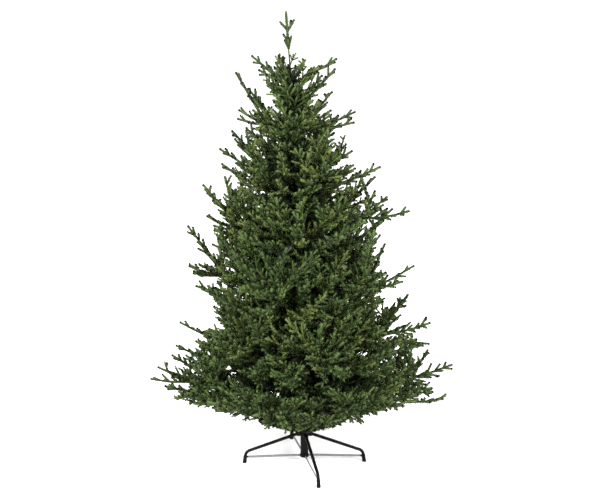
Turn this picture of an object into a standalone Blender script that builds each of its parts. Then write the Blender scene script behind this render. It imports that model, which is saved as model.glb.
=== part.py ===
"""Artificial Christmas tree on a folding four-legged steel stand.

Units are metres and +Z is up. The origin is on the floor under the stand's centre. The pole leans a little
to -X in its socket. Boughs grow from the pole in tiers, and each mass of foliage keeps to a space of its own:
a sector of one tier, between two cones that rise outward from the pole.
"""
import math
import random

import bmesh
import bpy
import numpy as np
from mathutils import Matrix, Vector

OBJECT_NAME = "christmas_tree"
GAP = 0.0003                      # between neighbouring pieces that touch

# Stand
LEG_AZIMUTHS = {"right": 1.5, "back": 102.7, "left": 181.5, "front": 282.9}
LEG_RADIUS = 0.0075
LEG_ROOT = (0.0250, 0.1469)       # distance from the axis, height
LEG_CORNER = (0.2757, 0.0555)
LEG_FOOT = (0.2830, 0.0060)
LEG_BEND_RADIUS = 0.030
CAP_RADIUS = 0.0095
CAP_HEIGHT = 0.022
SOCKET_RADIUS = 0.0185
SOCKET_WALL = 0.0015
SOCKET_BOTTOM = 0.030
SOCKET_TOP = 0.190
HUB_HEIGHT = 0.146                # middle of the collar that the legs hinge on
HUB_DEPTH = 0.022
HUB_WALL = 0.0025
EAR_THICKNESS = 0.0025
EAR_SIZE = (0.022, 0.020)         # length outward, height
BRACE_INNER_HEIGHT = 0.036
BRACE_OUTER_HEIGHT = 0.030
BRACE_THICKNESS = 0.002
BRACE_WIDTH = 0.009
SCREW_AZIMUTH = -20.0             # eye screw that clamps the pole
SCREW_HEIGHT = 0.166
SCREW_EYE_RADIUS = 0.008
SCREW_WIRE_RADIUS = 0.0018
SCREW_LENGTH = 0.009

# Pole
LEAN = 0.0358                     # sideways run to -X for each metre of height
LEAN_HEIGHT = 0.115               # the pole crosses the stand's axis here
POLE_BOTTOM = 0.055
POLE_TOP = 1.810
POLE_SECTIONS = ((0.0140, 0.78), (0.0125, 1.34), (0.0110, POLE_TOP))   # radius, upper end
SWAGE_LENGTH = 0.030              # of the wider mouth that the next section stands in
SWAGE_EXTRA = 0.0012

# Crown: height, and the reach of the foliage from the leaning axis there, to the left (-X) and to the right
CROWN_REACH = ((0.25, 0.45, 0.45), (0.30, 0.50, 0.51), (0.35, 0.56, 0.58), (0.40, 0.65, 0.62),
               (0.45, 0.65, 0.63), (0.50, 0.55, 0.57), (0.60, 0.52, 0.55), (0.65, 0.50, 0.55),
               (0.70, 0.46, 0.46), (0.75, 0.42, 0.44), (0.80, 0.41, 0.46), (0.85, 0.45, 0.37),
               (0.90, 0.45, 0.45), (0.95, 0.49, 0.48), (1.00, 0.43, 0.40), (1.05, 0.38, 0.37),
               (1.10, 0.41, 0.35), (1.15, 0.41, 0.40), (1.20, 0.35, 0.47), (1.25, 0.35, 0.40),
               (1.30, 0.36, 0.34), (1.35, 0.33, 0.33), (1.40, 0.28, 0.32), (1.45, 0.30, 0.23),
               (1.50, 0.25, 0.24), (1.55, 0.23, 0.24), (1.60, 0.21, 0.26), (1.65, 0.21, 0.19),
               (1.70, 0.14, 0.16), (1.75, 0.17, 0.16), (1.80, 0.16, 0.14), (1.85, 0.15, 0.14),
               (1.90, 0.12, 0.11), (1.96, 0.05, 0.05))
# Tips that stand furthest out: azimuth, height, reach
FURTHEST_TIPS = ((8, 0.450, 0.716), (-10, 0.725, 0.597), (12, 0.931, 0.549), (-9, 1.237, 0.508),
                 (10, 1.267, 0.422), (-8, 1.430, 0.383), (14, 1.655, 0.288), (5, 1.896, 0.203),
                 (176, 0.400, 0.712), (188, 0.610, 0.572), (170, 0.663, 0.571), (188, 0.982, 0.492),
                 (172, 1.133, 0.500), (190, 1.353, 0.410), (171, 1.492, 0.334), (187, 1.640, 0.240),
                 (176, 1.836, 0.240), (184, 1.912, 0.165), (84, 0.480, 0.685), (276, 0.480, 0.685))
# Cones between the tiers: height on the axis, rise for each metre outward
CONES = ((0.160, 0.29), (0.320, 0.45), (0.583, 0.55), (0.855, 0.65), (1.125, 0.73), (1.390, 0.85),
         (1.670, 1.00), (1.930, 0.20))
LOW_CONE_EXTRA = 0.12             # the lowest cone is steeper by this at the front and the back
LOW_CONE_CORNER = 0.12            # and by this half way between them and the sides
# Tiers: masses, azimuth of the first, height of their roots, bough's length (0: on the pole), columns, rows
TIERS = ((6, 0.0, 0.235, 0.08, 5, 2),
         (5, 0.0, 0.470, 0.08, 4, 2),
         (5, 180.0, 0.735, 0.0, 3, 2),
         (4, 0.0, 1.010, 0.0, 3, 2),
         (4, 45.0, 1.290, 0.0, 3, 2),
         (4, 0.0, 1.565, 0.0, 3, 2),
         (3, 0.0, 1.765, 0.0, 3, 2))
TIER_NAMES = ("first", "second", "third", "fourth", "fifth", "sixth", "top")
BOUGH_RADII = (0.0075, 0.0055)
BRANCH_ANGLE = 27.0               # between a stem and its twigs
SPACE_MARGIN = 0.0015             # kept inside the bounds of a mass's space
FROND_LENGTH = 0.36               # the longest stretch of a twig that carries sprays
FROND_SHARE = 0.80                # of a shorter twig's length
LONG_FROND = 0.27                 # a longer one has three pairs of sprays, a shorter one two
TIP_SPACING = 0.105               # a target nearer than this to another is left out
SPRAY_REACH = 0.105               # of the widest side spray, out from its twig
SPRAY_LIMIT = 0.93                # of its twig's reach, for a side spray that stands out of the crown
TWIG_RADIUS = 0.0055
CORE_RADIUS = 0.0135              # of the needles round a twig

# Leader above the pole
LEADER_TIP = Vector((-0.0815, 0.0, 2.100))
LEADER_RADII = (0.0040, 0.0030)
LEADER_SPRAY_RADIUS = 0.0095
# Forks at the tip: azimuth, height of the root, length, run out for each rise
LEADER_FORKS = ((185.0, 2.024, 0.050, 0.95), (10.0, 2.016, 0.062, 0.60))
LEADER_WHORL_HEIGHT = 1.940
LEADER_WHORL_COUNT = 5
LEADER_WHORL_SPREAD = 0.42        # run out for each rise


def clear_scene():
    for thing in list(bpy.data.objects):
        bpy.data.objects.remove(thing, do_unlink=True)


def make_collection(name):
    collection = bpy.data.collections.new(name)
    bpy.context.scene.collection.children.link(collection)
    return collection


def make_material(name, colour, roughness, metallic=0.0):
    material = bpy.data.materials.new(name)
    material.use_nodes = True
    shader = material.node_tree.nodes["Principled BSDF"]
    shader.inputs["Base Color"].default_value = (*colour, 1.0)
    shader.inputs["Roughness"].default_value = roughness
    shader.inputs["Metallic"].default_value = metallic
    material.diffuse_color = (*colour, 1.0)
    return material


def add_object(name, data, material, collection):
    piece = bpy.data.objects.new(name, data)
    collection.objects.link(piece)
    if material is not None:
        data.materials.append(material)
    return piece


def mesh_from(fill, name):
    """A new mesh that fill(bm) has put its faces in."""
    bm = bmesh.new()
    fill(bm)
    mesh = bpy.data.meshes.new(name)
    bm.to_mesh(mesh)
    bm.free()
    return mesh


def aligned(start, end):
    """Matrix that puts a primitive's middle between two points, with its Z along them."""
    along = end - start
    return Matrix.Translation((start + end) / 2) @ along.to_track_quat("Z", "Y").to_matrix().to_4x4()


def cone_mesh(name, start, end, start_radius, end_radius, sides):
    def fill(bm):
        bmesh.ops.create_cone(bm, cap_ends=True, segments=sides, radius1=start_radius, radius2=end_radius,
                              depth=(end - start).length, matrix=aligned(start, end))
    return mesh_from(fill, name)


def box_mesh(name, size, matrix):
    def fill(bm):
        bmesh.ops.create_cube(bm, size=1.0, matrix=matrix @ Matrix.Diagonal((*size, 1.0)))
    return mesh_from(fill, name)


def turned(name, profile, material, collection, steps=24):
    """A turned piece round Z. The profile runs down its outer side, and up its bore if it has one."""
    mesh = bpy.data.meshes.new(name)
    closed = all(radius > 0 for radius, _ in profile)
    edges = [(i, i + 1) for i in range(len(profile) - 1)]
    if closed:
        edges.append((len(profile) - 1, 0))
    mesh.from_pydata([(radius, 0.0, height) for radius, height in profile], edges, [])
    piece = add_object(name, mesh, material, collection)
    screw = piece.modifiers.new("turn", "SCREW")
    screw.steps = steps
    screw.render_steps = steps
    screw.use_merge_vertices = True
    screw.merge_threshold = 0.0001
    screw.use_smooth_shade = False
    return piece


def tube(name, points, radius, material, collection, resolution=4):
    curve = bpy.data.curves.new(name, "CURVE")
    curve.dimensions = "3D"
    curve.bevel_depth = radius
    curve.bevel_resolution = resolution
    curve.use_fill_caps = True
    spline = curve.splines.new("POLY")
    spline.points.add(len(points) - 1)
    for spot, point in zip(spline.points, points):
        spot.co = (*point, 1.0)
    return add_object(name, curve, material, collection)


def apply_modifiers(piece):
    """Replaces a piece's mesh with its evaluated one."""
    depsgraph = bpy.context.evaluated_depsgraph_get()
    mesh = bpy.data.meshes.new_from_object(piece.evaluated_get(depsgraph))
    piece.modifiers.clear()
    piece.data = mesh


def join_all(piece, others, solver="EXACT"):
    """Joins a collection's objects into a piece by one Boolean union, and removes them."""
    union = piece.modifiers.new("join", "BOOLEAN")
    union.operation = "UNION"
    union.operand_type = "COLLECTION"
    union.collection = others
    union.solver = solver
    apply_modifiers(piece)
    for other in list(others.objects):
        bpy.data.objects.remove(other, do_unlink=True)
    bpy.data.collections.remove(others)


def polar_point(azimuth, distance, height):
    """Point round the stand's axis, with the azimuth in degrees from +X."""
    angle = math.radians(azimuth)
    return Vector((distance * math.cos(angle), distance * math.sin(angle), height))


# ---------------------------------------------------------------- stand

def leg_path():
    """The leg's middle line from its root to its foot, as (distance, height), with a round bend."""
    root, corner, foot = Vector(LEG_ROOT), Vector(LEG_CORNER), Vector(LEG_FOOT)
    inward = (root - corner).normalized()
    outward = (foot - corner).normalized()
    half_angle = inward.angle(outward) / 2
    reach = LEG_BEND_RADIUS / math.tan(half_angle)
    middle = corner + (inward + outward).normalized() * LEG_BEND_RADIUS / math.sin(half_angle)
    first = corner + inward * reach - middle
    turn = math.pi - 2 * half_angle
    steps = 4
    path = [root]
    for step in range(steps + 1):
        angle = -turn * step / steps
        path.append(middle + Vector((first.x * math.cos(angle) - first.y * math.sin(angle),
                                     first.x * math.sin(angle) + first.y * math.cos(angle))))
    path.append(foot)
    return path


def make_leg(side, azimuth, steel, collection):
    points = [polar_point(azimuth, spot.x, spot.y) for spot in leg_path()]
    leg = tube(f"stand_leg_{side}", points, LEG_RADIUS, steel, collection, resolution=3)
    return leg


def make_cap(side, azimuth, rubber, collection):
    """A cap on the foot: it follows the foot's slant, and is cut flat where it stands on the floor."""
    corner, foot = Vector(LEG_CORNER), Vector(LEG_FOOT)
    slant = (corner - foot).normalized()
    foot_point = polar_point(azimuth, foot.x, foot.y)
    up = polar_point(azimuth, slant.x, 0.0) + Vector((0, 0, slant.y))
    top = foot_point + up * (CAP_HEIGHT - foot.y)
    mesh = cone_mesh("cap", foot_point - up * 0.02, top, CAP_RADIUS * 1.06, CAP_RADIUS, 16)
    bm = bmesh.new()
    bm.from_mesh(mesh)
    everything = bm.verts[:] + bm.edges[:] + bm.faces[:]
    cut = bmesh.ops.bisect_plane(bm, geom=everything, plane_co=(0, 0, 0), plane_no=(0, 0, -1),
                                 clear_outer=True)
    rim = [part for part in cut["geom_cut"] if isinstance(part, bmesh.types.BMEdge)]
    bmesh.ops.edgeloop_fill(bm, edges=rim)
    bmesh.ops.recalc_face_normals(bm, faces=bm.faces[:])
    bm.to_mesh(mesh)
    bm.free()
    cap = add_object(f"stand_cap_{side}", mesh, rubber, collection)
    bore_radius = LEG_RADIUS + GAP
    bore_mesh = cone_mesh("bore", foot_point - up * 0.001, top + up * 0.01, bore_radius, bore_radius, 16)
    return cap, bore_mesh


def make_socket(steel, collection):
    """The vertical tube that holds the pole, with a rolled lower edge."""
    inner = SOCKET_RADIUS - SOCKET_WALL
    edge = 0.003
    profile = [(SOCKET_RADIUS, SOCKET_TOP), (SOCKET_RADIUS, SOCKET_BOTTOM + edge),
               (SOCKET_RADIUS - edge / 3, SOCKET_BOTTOM), (inner - 0.001, SOCKET_BOTTOM),
               (inner, SOCKET_BOTTOM + edge), (inner, SOCKET_TOP)]
    return turned("stand_socket", profile, steel, collection, steps=20)


def make_hub(steel, collection):
    """The collar round the socket, with two ears for each leg."""
    inner = SOCKET_RADIUS + GAP
    outer = inner + HUB_WALL
    low, high = HUB_HEIGHT - HUB_DEPTH / 2, HUB_HEIGHT + HUB_DEPTH / 2
    hub = turned("stand_hub", [(outer, high), (outer, low), (inner, low), (inner, high)], steel, collection)
    apply_modifiers(hub)
    ears = make_collection("hub ears")
    offset = LEG_RADIUS + GAP + EAR_THICKNESS / 2
    length = EAR_SIZE[0]
    ear_start = math.sqrt((inner + HUB_WALL / 2) ** 2 - offset ** 2)
    for azimuth in LEG_AZIMUTHS.values():
        turn = Matrix.Rotation(math.radians(azimuth), 4, "Z")
        for side in (-1, 1):
            place = turn @ Matrix.Translation((ear_start + length / 2, side * offset, HUB_HEIGHT))
            size = (length, EAR_THICKNESS, EAR_SIZE[1])
            add_object("ear", box_mesh("ear", size, place), None, ears)
    join_all(hub, ears)
    return hub


def make_ring(steel, collection):
    """The ring near the socket's foot that the braces are hooked to."""
    inner = SOCKET_RADIUS + GAP
    outer = inner + 0.0022
    low, high = BRACE_INNER_HEIGHT - 0.006, BRACE_INNER_HEIGHT + 0.006
    return turned("stand_ring", [(outer, high), (outer, low), (inner, low), (inner, high)], steel, collection)


def make_brace(side, azimuth, zinc, collection):
    """A flat strip on edge from the ring to the leg, with a band that goes round the leg."""
    corner, foot = Vector(LEG_CORNER), Vector(LEG_FOOT)
    share = (BRACE_OUTER_HEIGHT - foot.y) / (corner.y - foot.y)
    leg_spot = foot.lerp(corner, share)
    slant = (corner - foot).normalized()
    up = polar_point(azimuth, slant.x, 0.0) + Vector((0, 0, slant.y))
    middle = polar_point(azimuth, leg_spot.x, leg_spot.y)
    band_inner = LEG_RADIUS + GAP
    band_outer = band_inner + 0.0016
    profile = [(band_outer, BRACE_WIDTH / 2), (band_outer, -BRACE_WIDTH / 2),
               (band_inner, -BRACE_WIDTH / 2), (band_inner, BRACE_WIDTH / 2)]
    brace = turned(f"stand_brace_{side}", profile, zinc, collection, steps=16)
    apply_modifiers(brace)
    brace.data.transform(Matrix.Translation(middle) @ up.to_track_quat("Z", "Y").to_matrix().to_4x4())
    start = polar_point(azimuth, SOCKET_RADIUS + 2 * GAP + 0.0022, BRACE_INNER_HEIGHT)
    end = polar_point(azimuth, leg_spot.x - band_inner - 0.0006, BRACE_OUTER_HEIGHT)
    along = (end - start).normalized()
    across = Vector((0, 0, 1)).cross(along).normalized()
    frame = Matrix((along, across, along.cross(across))).transposed().to_4x4()
    place = Matrix.Translation((start + end) / 2) @ frame
    strips = make_collection("brace strip")
    size = ((end - start).length, BRACE_THICKNESS, BRACE_WIDTH)
    add_object("strip", box_mesh("strip", size, place), None, strips)
    join_all(brace, strips)
    return brace


def make_eye_screw(zinc, collection):
    """The screw through the socket's side that clamps the pole, with a ring to turn it by."""
    start = polar_point(SCREW_AZIMUTH, SOCKET_RADIUS + GAP, SCREW_HEIGHT)
    end = polar_point(SCREW_AZIMUTH, SOCKET_RADIUS + SCREW_LENGTH, SCREW_HEIGHT)
    screw = add_object("stand_eye_screw", cone_mesh("screw", start, end, 0.0028, 0.0028, 8), zinc, collection)
    centre = polar_point(SCREW_AZIMUTH, SOCKET_RADIUS + SCREW_LENGTH + SCREW_EYE_RADIUS - 0.001, SCREW_HEIGHT)
    turn = Matrix.Rotation(math.radians(SCREW_AZIMUTH), 4, "Z")
    steps = 12
    ring = []
    for step in range(steps):
        angle = 2 * math.pi * step / steps
        spoke = Vector((SCREW_EYE_RADIUS * math.cos(angle), 0, SCREW_EYE_RADIUS * math.sin(angle)))
        ring.append(centre + turn @ spoke)
    eye = tube("eye", ring, SCREW_WIRE_RADIUS, None, collection, resolution=1)
    eye.data.splines[0].use_cyclic_u = True
    eyes = make_collection("screw eye")
    depsgraph = bpy.context.evaluated_depsgraph_get()
    add_object("eye", bpy.data.meshes.new_from_object(eye.evaluated_get(depsgraph)), None, eyes)
    bpy.data.objects.remove(eye, do_unlink=True)
    join_all(screw, eyes)
    return screw


def make_stand(collection, cutters):
    steel = make_material("black steel", (0.012, 0.012, 0.013), 0.38, 0.0)
    zinc = make_material("grey steel strip", (0.34, 0.34, 0.34), 0.45, 0.6)
    rubber = make_material("black rubber", (0.010, 0.010, 0.010), 0.75, 0.0)
    make_socket(steel, collection)
    make_hub(steel, collection)
    make_ring(steel, collection)
    make_eye_screw(zinc, collection)
    for side, azimuth in LEG_AZIMUTHS.items():
        make_leg(side, azimuth, steel, collection)
        cap, bore_mesh = make_cap(side, azimuth, rubber, collection)
        bore = add_object(f"cap_bore_{side}", bore_mesh, None, cutters)
        bore.hide_render = True
        bore.display_type = "WIRE"
        cut = cap.modifiers.new("bore", "BOOLEAN")
        cut.operation = "DIFFERENCE"
        cut.object = bore
        make_brace(side, azimuth, zinc, collection)


# ---------------------------------------------------------------- pole and crown

def axis_point(height):
    """Point on the pole's leaning axis."""
    return Vector((-LEAN * (height - LEAN_HEIGHT), 0.0, height))


def pole_radius(height):
    return next(radius for radius, end in POLE_SECTIONS if height <= end)


def make_pole(collection):
    """The pole in three telescoping sections, the lower two with a swaged mouth."""
    material = make_material("dark green pole", (0.016, 0.022, 0.014), 0.5, 0.0)
    starts = [POLE_BOTTOM] + [end for _, end in POLE_SECTIONS[:-1]]
    profile = [(0.0, POLE_TOP)]
    for (radius, end), start in reversed(list(zip(POLE_SECTIONS, starts))):
        if end < POLE_TOP:
            profile.append((radius + SWAGE_EXTRA, end))
            profile.append((radius + SWAGE_EXTRA, end - SWAGE_LENGTH))
            profile.append((radius, end - SWAGE_LENGTH))
        else:
            profile.append((radius, end))
        profile.append((radius, start))
    profile.append((0.0, POLE_BOTTOM))
    pole = turned("pole", profile, material, collection, steps=16)
    pole.rotation_euler = (0.0, -math.atan(LEAN), 0.0)
    pole.location = (LEAN * LEAN_HEIGHT, 0.0, 0.0)
    return pole


def crown_reach(height, azimuth):
    """Reach of the foliage at a height, between the crown's left and right profiles in CROWN_REACH."""
    heights, left, right = zip(*CROWN_REACH)
    left, right = np.interp(height, heights, left), np.interp(height, heights, right)
    return float((left + right) / 2 + (right - left) / 2 * math.cos(azimuth))


def cone_height(index, distance, azimuth):
    """Height of the cone under a tier, at a distance from the axis and an azimuth in radians."""
    foot, rise = CONES[index]
    if index == 0:
        rise += LOW_CONE_EXTRA * math.sin(azimuth) ** 2 + LOW_CONE_CORNER * abs(math.sin(2 * azimuth))
    return foot + rise * distance


class Space:
    """One mass's space: a sector of a tier, between the cone under it and the cone over it."""

    def __init__(self, tier, number):
        masses, first, _, _, _, _ = TIERS[tier]
        self.tier = tier
        self.half_width = math.pi / masses
        self.middle = math.radians(first) + 2 * math.pi * number / masses

    def surface_point(self, across, up, share):
        """Point at a share of the crown's reach: across and up run from 0 to 1 over the space."""
        azimuth = self.middle + (2 * across - 1) * self.half_width
        height = 1.0
        for _ in range(12):
            distance = crown_reach(height, azimuth) * share
            low = cone_height(self.tier, distance, azimuth)
            high = cone_height(self.tier + 1, distance, azimuth)
            height = (height + low + (high - low) * up) / 2
        outward = Vector((math.cos(azimuth), math.sin(azimuth), 0.0))
        return axis_point(height) + outward * distance

    def holds(self, point, margin=SPACE_MARGIN):
        offset = point - axis_point(point.z)
        distance = math.hypot(offset.x, offset.y)
        azimuth = math.atan2(offset.y, offset.x)
        aside = abs((azimuth - self.middle + math.pi) % (2 * math.pi) - math.pi)
        if aside >= self.half_width or distance * math.sin(self.half_width - aside) < margin:
            return False
        if distance < POLE_SECTIONS[-1][0]:
            return False
        if point.z - cone_height(self.tier, distance, azimuth) < 1.5 * margin:
            return False
        return cone_height(self.tier + 1, distance, azimuth) - point.z > 2.5 * margin


def branch_spot(start, end, target):
    """Point on a stem from which a twig to the target leaves at the branching angle."""
    along = (end - start).normalized()
    foot = (target - start).dot(along)
    aside = (target - start - along * foot).length
    spot = foot - aside / math.tan(math.radians(BRANCH_ANGLE))
    return start + along * max(0.025, min(spot, (end - start).length * 0.75))


def mass_limbs(tier, number):
    """The rule for one mass: its root at the pole, its stem's start, and its twigs as (fork, tip, roll)."""
    _, _, root_height, bough_length, columns, rows = TIERS[tier]
    rng = random.Random(100 * tier + number)
    space = Space(tier, number)
    leading = space.surface_point(0.5, 0.45, 0.97)
    outward = Vector((math.cos(space.middle), math.sin(space.middle), 0.0))
    rise = (leading - axis_point(root_height)).normalized()
    root = axis_point(root_height) + outward * (pole_radius(root_height) + GAP + BOUGH_RADII[0] * rise.z)
    way = (leading - root).normalized()
    start = root + way * (bough_length + GAP) if bough_length else root
    twigs = [(start, leading, rng.uniform(-20.0, 20.0))]
    tips = [axis_point(height) + polar_point(azimuth, reach, 0.0) for azimuth, height, reach in FURTHEST_TIPS]
    targets = [tip for tip in tips if space.holds(tip, 0.01)]
    for row in range(rows):
        for column in range(columns):
            across = (column + 0.5 + rng.uniform(-0.2, 0.2)) / columns
            up = (row + 0.5 + rng.uniform(-0.2, 0.2)) / rows
            target = space.surface_point(across, up, rng.uniform(0.86, 1.0))
            if all((target - other).length > TIP_SPACING for other in targets):
                targets.append(target)
    for target in targets:
        fork = branch_spot(start, leading, target)
        roll = rng.uniform(-60.0, 60.0)
        if all(space.holds(fork.lerp(target, step / 8), 0.008) for step in range(9)):
            twigs.append((fork, target, roll))
    return root, start, twigs


def spray_tip(base, way, length, space, limit):
    """Tip of a side spray, drawn in until it keeps to its space and inside the crown or a limit, or None."""
    for share in (1.0, 0.8, 0.6, 0.4, 0.25):
        tip = base + way * length * share
        offset = tip - axis_point(tip.z)
        reach = max(crown_reach(tip.z, math.atan2(offset.y, offset.x)), limit)
        if offset.length < reach and space.holds(tip, 2 * SPACE_MARGIN):
            return tip
    return None


def frond_mesh(fork, tip, roll, space, rng):
    """A twig in one piece with its needles: a four-sided core, and sprays that stand out of its sides."""
    along = (tip - fork).normalized()
    level = Matrix.Rotation(math.radians(roll), 3, along) @ Vector((-along.y, along.x, 0.0)).normalized()
    over = along.cross(level)
    length = (tip - fork).length
    limit = (tip - axis_point(tip.z)).length * SPRAY_LIMIT
    frond = min(FROND_LENGTH, FROND_SHARE * length)
    pairs = 3 if frond > LONG_FROND else 2
    stations = [0.0] + [length - frond * (1.0 - 0.8 * ring / pairs) for ring in range(pairs + 1)]
    radii = [TWIG_RADIUS] + [CORE_RADIUS * (1.0 - 0.3 * ring / pairs) for ring in range(pairs + 1)]

    def fill(bm):
        rings = []
        for station, radius in zip(stations, radii):
            middle = fork + along * station
            ways = [level * x + over * 0.8 * y for x, y in ((1, 1), (-1, 1), (-1, -1), (1, -1))]
            rings.append([bm.verts.new(middle + way * radius * 0.8) for way in ways])
        bm.faces.new(reversed(rings[0]))
        for index, (low, high) in enumerate(zip(rings, rings[1:])):
            bm.faces.new((low[0], low[1], high[1], high[0]))
            bm.faces.new((low[2], low[3], high[3], high[2]))
            for hand, near, far in ((1, 3, 0), (-1, 1, 2)):
                reach = SPRAY_REACH * rng.uniform(0.7, 1.0) * (1.0 - 0.13 * index)
                lead = rng.uniform(0.6, 0.9)
                lift = rng.uniform(-0.5, 0.8)
                apex = None
                if index > 0:
                    base = fork + along * stations[index + 1]
                    way = level * hand + along * lead + over * lift
                    apex = spray_tip(base, way, reach, space, limit)
                side = (low[near], low[far], high[far], high[near])
                if apex is None:
                    bm.faces.new(side)
                    continue
                point = bm.verts.new(apex)
                for first, second in zip(side, side[1:] + side[:1]):
                    bm.faces.new((first, second, point))
        point = bm.verts.new(tip)
        last = rings[-1]
        for corner in range(4):
            bm.faces.new((last[corner], last[(corner + 1) % 4], point))
        bmesh.ops.recalc_face_normals(bm, faces=bm.faces[:])
    return mesh_from(fill, "frond")


def grow_mass(tier, number, foliage, bark, collection):
    """One mass, joined from a stem and its twigs, and the bough that carries it."""
    root, start, twigs = mass_limbs(tier, number)
    space = Space(tier, number)
    rng = random.Random(1000 + 100 * tier + number)
    if (start - root).length > 0:
        mesh = cone_mesh("bough", root, start - (start - root).normalized() * GAP, *BOUGH_RADII, 8)
        add_object(f"{TIER_NAMES[tier]}_tier_bough_{number + 1}", mesh, bark, collection)
    fronds = [frond_mesh(fork, tip, roll, space, rng) for fork, tip, roll in twigs]
    fronds = [mesh for mesh in fronds if all(space.holds(vertex.co) for vertex in mesh.vertices)]
    mass = add_object(f"{TIER_NAMES[tier]}_tier_foliage_{number + 1}", fronds[0], foliage, collection)
    others = make_collection("growth")
    for mesh in fronds[1:]:
        add_object("growth", mesh, None, others)
    join_all(mass, others, "MANIFOLD")
    return mass


def spray_mesh(start, tip, radius, roll):
    """A single spray of needles: a slim three-sided core with a whorl of teeth that point to the tip."""
    rings = ((0.0, 0.2, 0.0), (0.56, 1.0, 0.0), (0.62, 0.6, 60.0))
    length = (tip - start).length
    turn = (tip - start).to_track_quat("Z", "Y").to_matrix()

    def fill(bm):
        loops = []
        for along, width, twist in rings:
            angles = [math.radians(roll + twist + 120.0 * corner) for corner in range(3)]
            local = [Vector((radius * width * math.cos(a), radius * width * math.sin(a), length * along))
                     for a in angles]
            loops.append([bm.verts.new(start + turn @ spot) for spot in local])
        bm.faces.new(list(reversed(loops[0])))
        for low, high in zip(loops, loops[1:]):
            for corner in range(3):
                following = (corner + 1) % 3
                bm.faces.new((low[corner], low[following], high[corner]))
                bm.faces.new((low[following], high[following], high[corner]))
        apex = bm.verts.new(tip)
        for corner in range(3):
            bm.faces.new((loops[-1][corner], loops[-1][(corner + 1) % 3], apex))
    return mesh_from(fill, "spray")


def grow_leader(foliage, collection):
    """The leader: a bare wire above the pole with a whorl of sprays, a fork of two, and the tip."""
    rng = random.Random(7)
    start = axis_point(POLE_TOP + GAP)
    along = (LEADER_TIP - start).normalized()

    def spot(height):
        return start + along * (height - start.z) / along.z

    stem = cone_mesh("stem", start, spot(LEADER_TIP.z - 0.05), *LEADER_RADII, 3)
    leader = add_object("leader_foliage", stem, foliage, collection)
    others = make_collection("growth")
    sprays = [(spot(LEADER_WHORL_HEIGHT + 0.01), LEADER_TIP)]
    for azimuth, height, length, outward in LEADER_FORKS:
        way = polar_point(azimuth, outward, 1.0).normalized()
        sprays.append((spot(height), spot(height) + way * length))
    for index in range(LEADER_WHORL_COUNT):
        azimuth = 360.0 * index / LEADER_WHORL_COUNT + rng.uniform(-12.0, 12.0)
        root = spot(LEADER_WHORL_HEIGHT + rng.uniform(0.0, 0.02))
        way = polar_point(azimuth, LEADER_WHORL_SPREAD, 1.0).normalized()
        sprays.append((root, root + way * rng.uniform(0.050, 0.062)))
    for low, high in sprays:
        spray = spray_mesh(low, high, LEADER_SPRAY_RADIUS, rng.uniform(0.0, 120.0))
        add_object("growth", spray, None, others)
    join_all(leader, others, "MANIFOLD")
    return leader


def make_crown(collection):
    foliage = make_material("green needles", (0.036, 0.062, 0.020), 0.62)
    bark = make_material("dark green bough", (0.022, 0.034, 0.014), 0.7)
    for tier, (masses, *_) in enumerate(TIERS):
        for number in range(masses):
            grow_mass(tier, number, foliage, bark, collection)
    grow_leader(foliage, collection)


def main():
    clear_scene()
    collection = make_collection(OBJECT_NAME)
    cutters = make_collection("cutters")
    make_stand(collection, cutters)
    make_pole(collection)
    make_crown(collection)


main()
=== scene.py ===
import math
import random

import bmesh
import bpy
import numpy as np
from bpy.props import FloatProperty, FloatVectorProperty, IntProperty, PointerProperty
from mathutils import Matrix, Vector


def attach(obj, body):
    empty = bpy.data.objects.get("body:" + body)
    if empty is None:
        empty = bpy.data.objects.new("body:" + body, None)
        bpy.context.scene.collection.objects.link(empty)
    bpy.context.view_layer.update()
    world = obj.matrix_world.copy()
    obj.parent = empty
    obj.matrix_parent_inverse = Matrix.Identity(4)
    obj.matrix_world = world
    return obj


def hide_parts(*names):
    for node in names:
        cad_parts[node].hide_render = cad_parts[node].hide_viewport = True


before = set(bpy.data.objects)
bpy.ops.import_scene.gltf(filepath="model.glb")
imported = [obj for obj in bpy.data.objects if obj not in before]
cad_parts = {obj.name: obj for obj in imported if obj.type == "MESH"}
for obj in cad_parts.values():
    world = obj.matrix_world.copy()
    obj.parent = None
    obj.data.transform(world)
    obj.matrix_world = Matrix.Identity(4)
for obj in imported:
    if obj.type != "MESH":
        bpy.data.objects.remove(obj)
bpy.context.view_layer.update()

bl_info = {
    "name": "Christmas Tree on a Folding Stand",
    "version": (1, 0, 0),
    "blender": (4, 5, 0),
    "location": "3D View > Sidebar > Tree",
    "description": "Dresses the packed tree: needled wire twigs, a pole in sections and a folding stand",
    "category": "Object",
}

GAP = 0.0003                      # between neighbouring pieces that touch
ACROSS = (math.pi / 2, 0.0, 0.0)  # turns a piece's own Z to Y
UP = Vector((0.0, 0.0, 1.0))

# Stand, as in the part's source
LEG_AZIMUTHS = {"right": 1.5, "back": 102.7, "left": 181.5, "front": 282.9}
LEG_ROOT = Vector((0.0250, 0.0, 0.1469))
LEG_CORNER = Vector((0.2757, 0.0, 0.0555))
LEG_FOOT = Vector((0.2830, 0.0, 0.0060))
LEG_BEND_RADIUS = 0.030
HUB_HEIGHT = 0.146                # middle of the collar that the legs hinge on
HUB_DEPTH = 0.022
HUB_WALL = 0.0025
EAR_THICKNESS = 0.0025
EAR_SIZE = (0.022, 0.020)         # length outward, height
BRACE_INNER_HEIGHT = 0.036
BRACE_OUTER_HEIGHT = 0.030
RING_WALL = 0.0022
BAND_WALL = 0.0016
SCREW_AZIMUTH = -20.0             # eye screw that clamps the pole
SCREW_HEIGHT = 0.166
SCREW_EYE_RADIUS = 0.008
SCREW_WIRE_RADIUS = 0.0018
SCREW_LENGTH = 0.009

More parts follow.
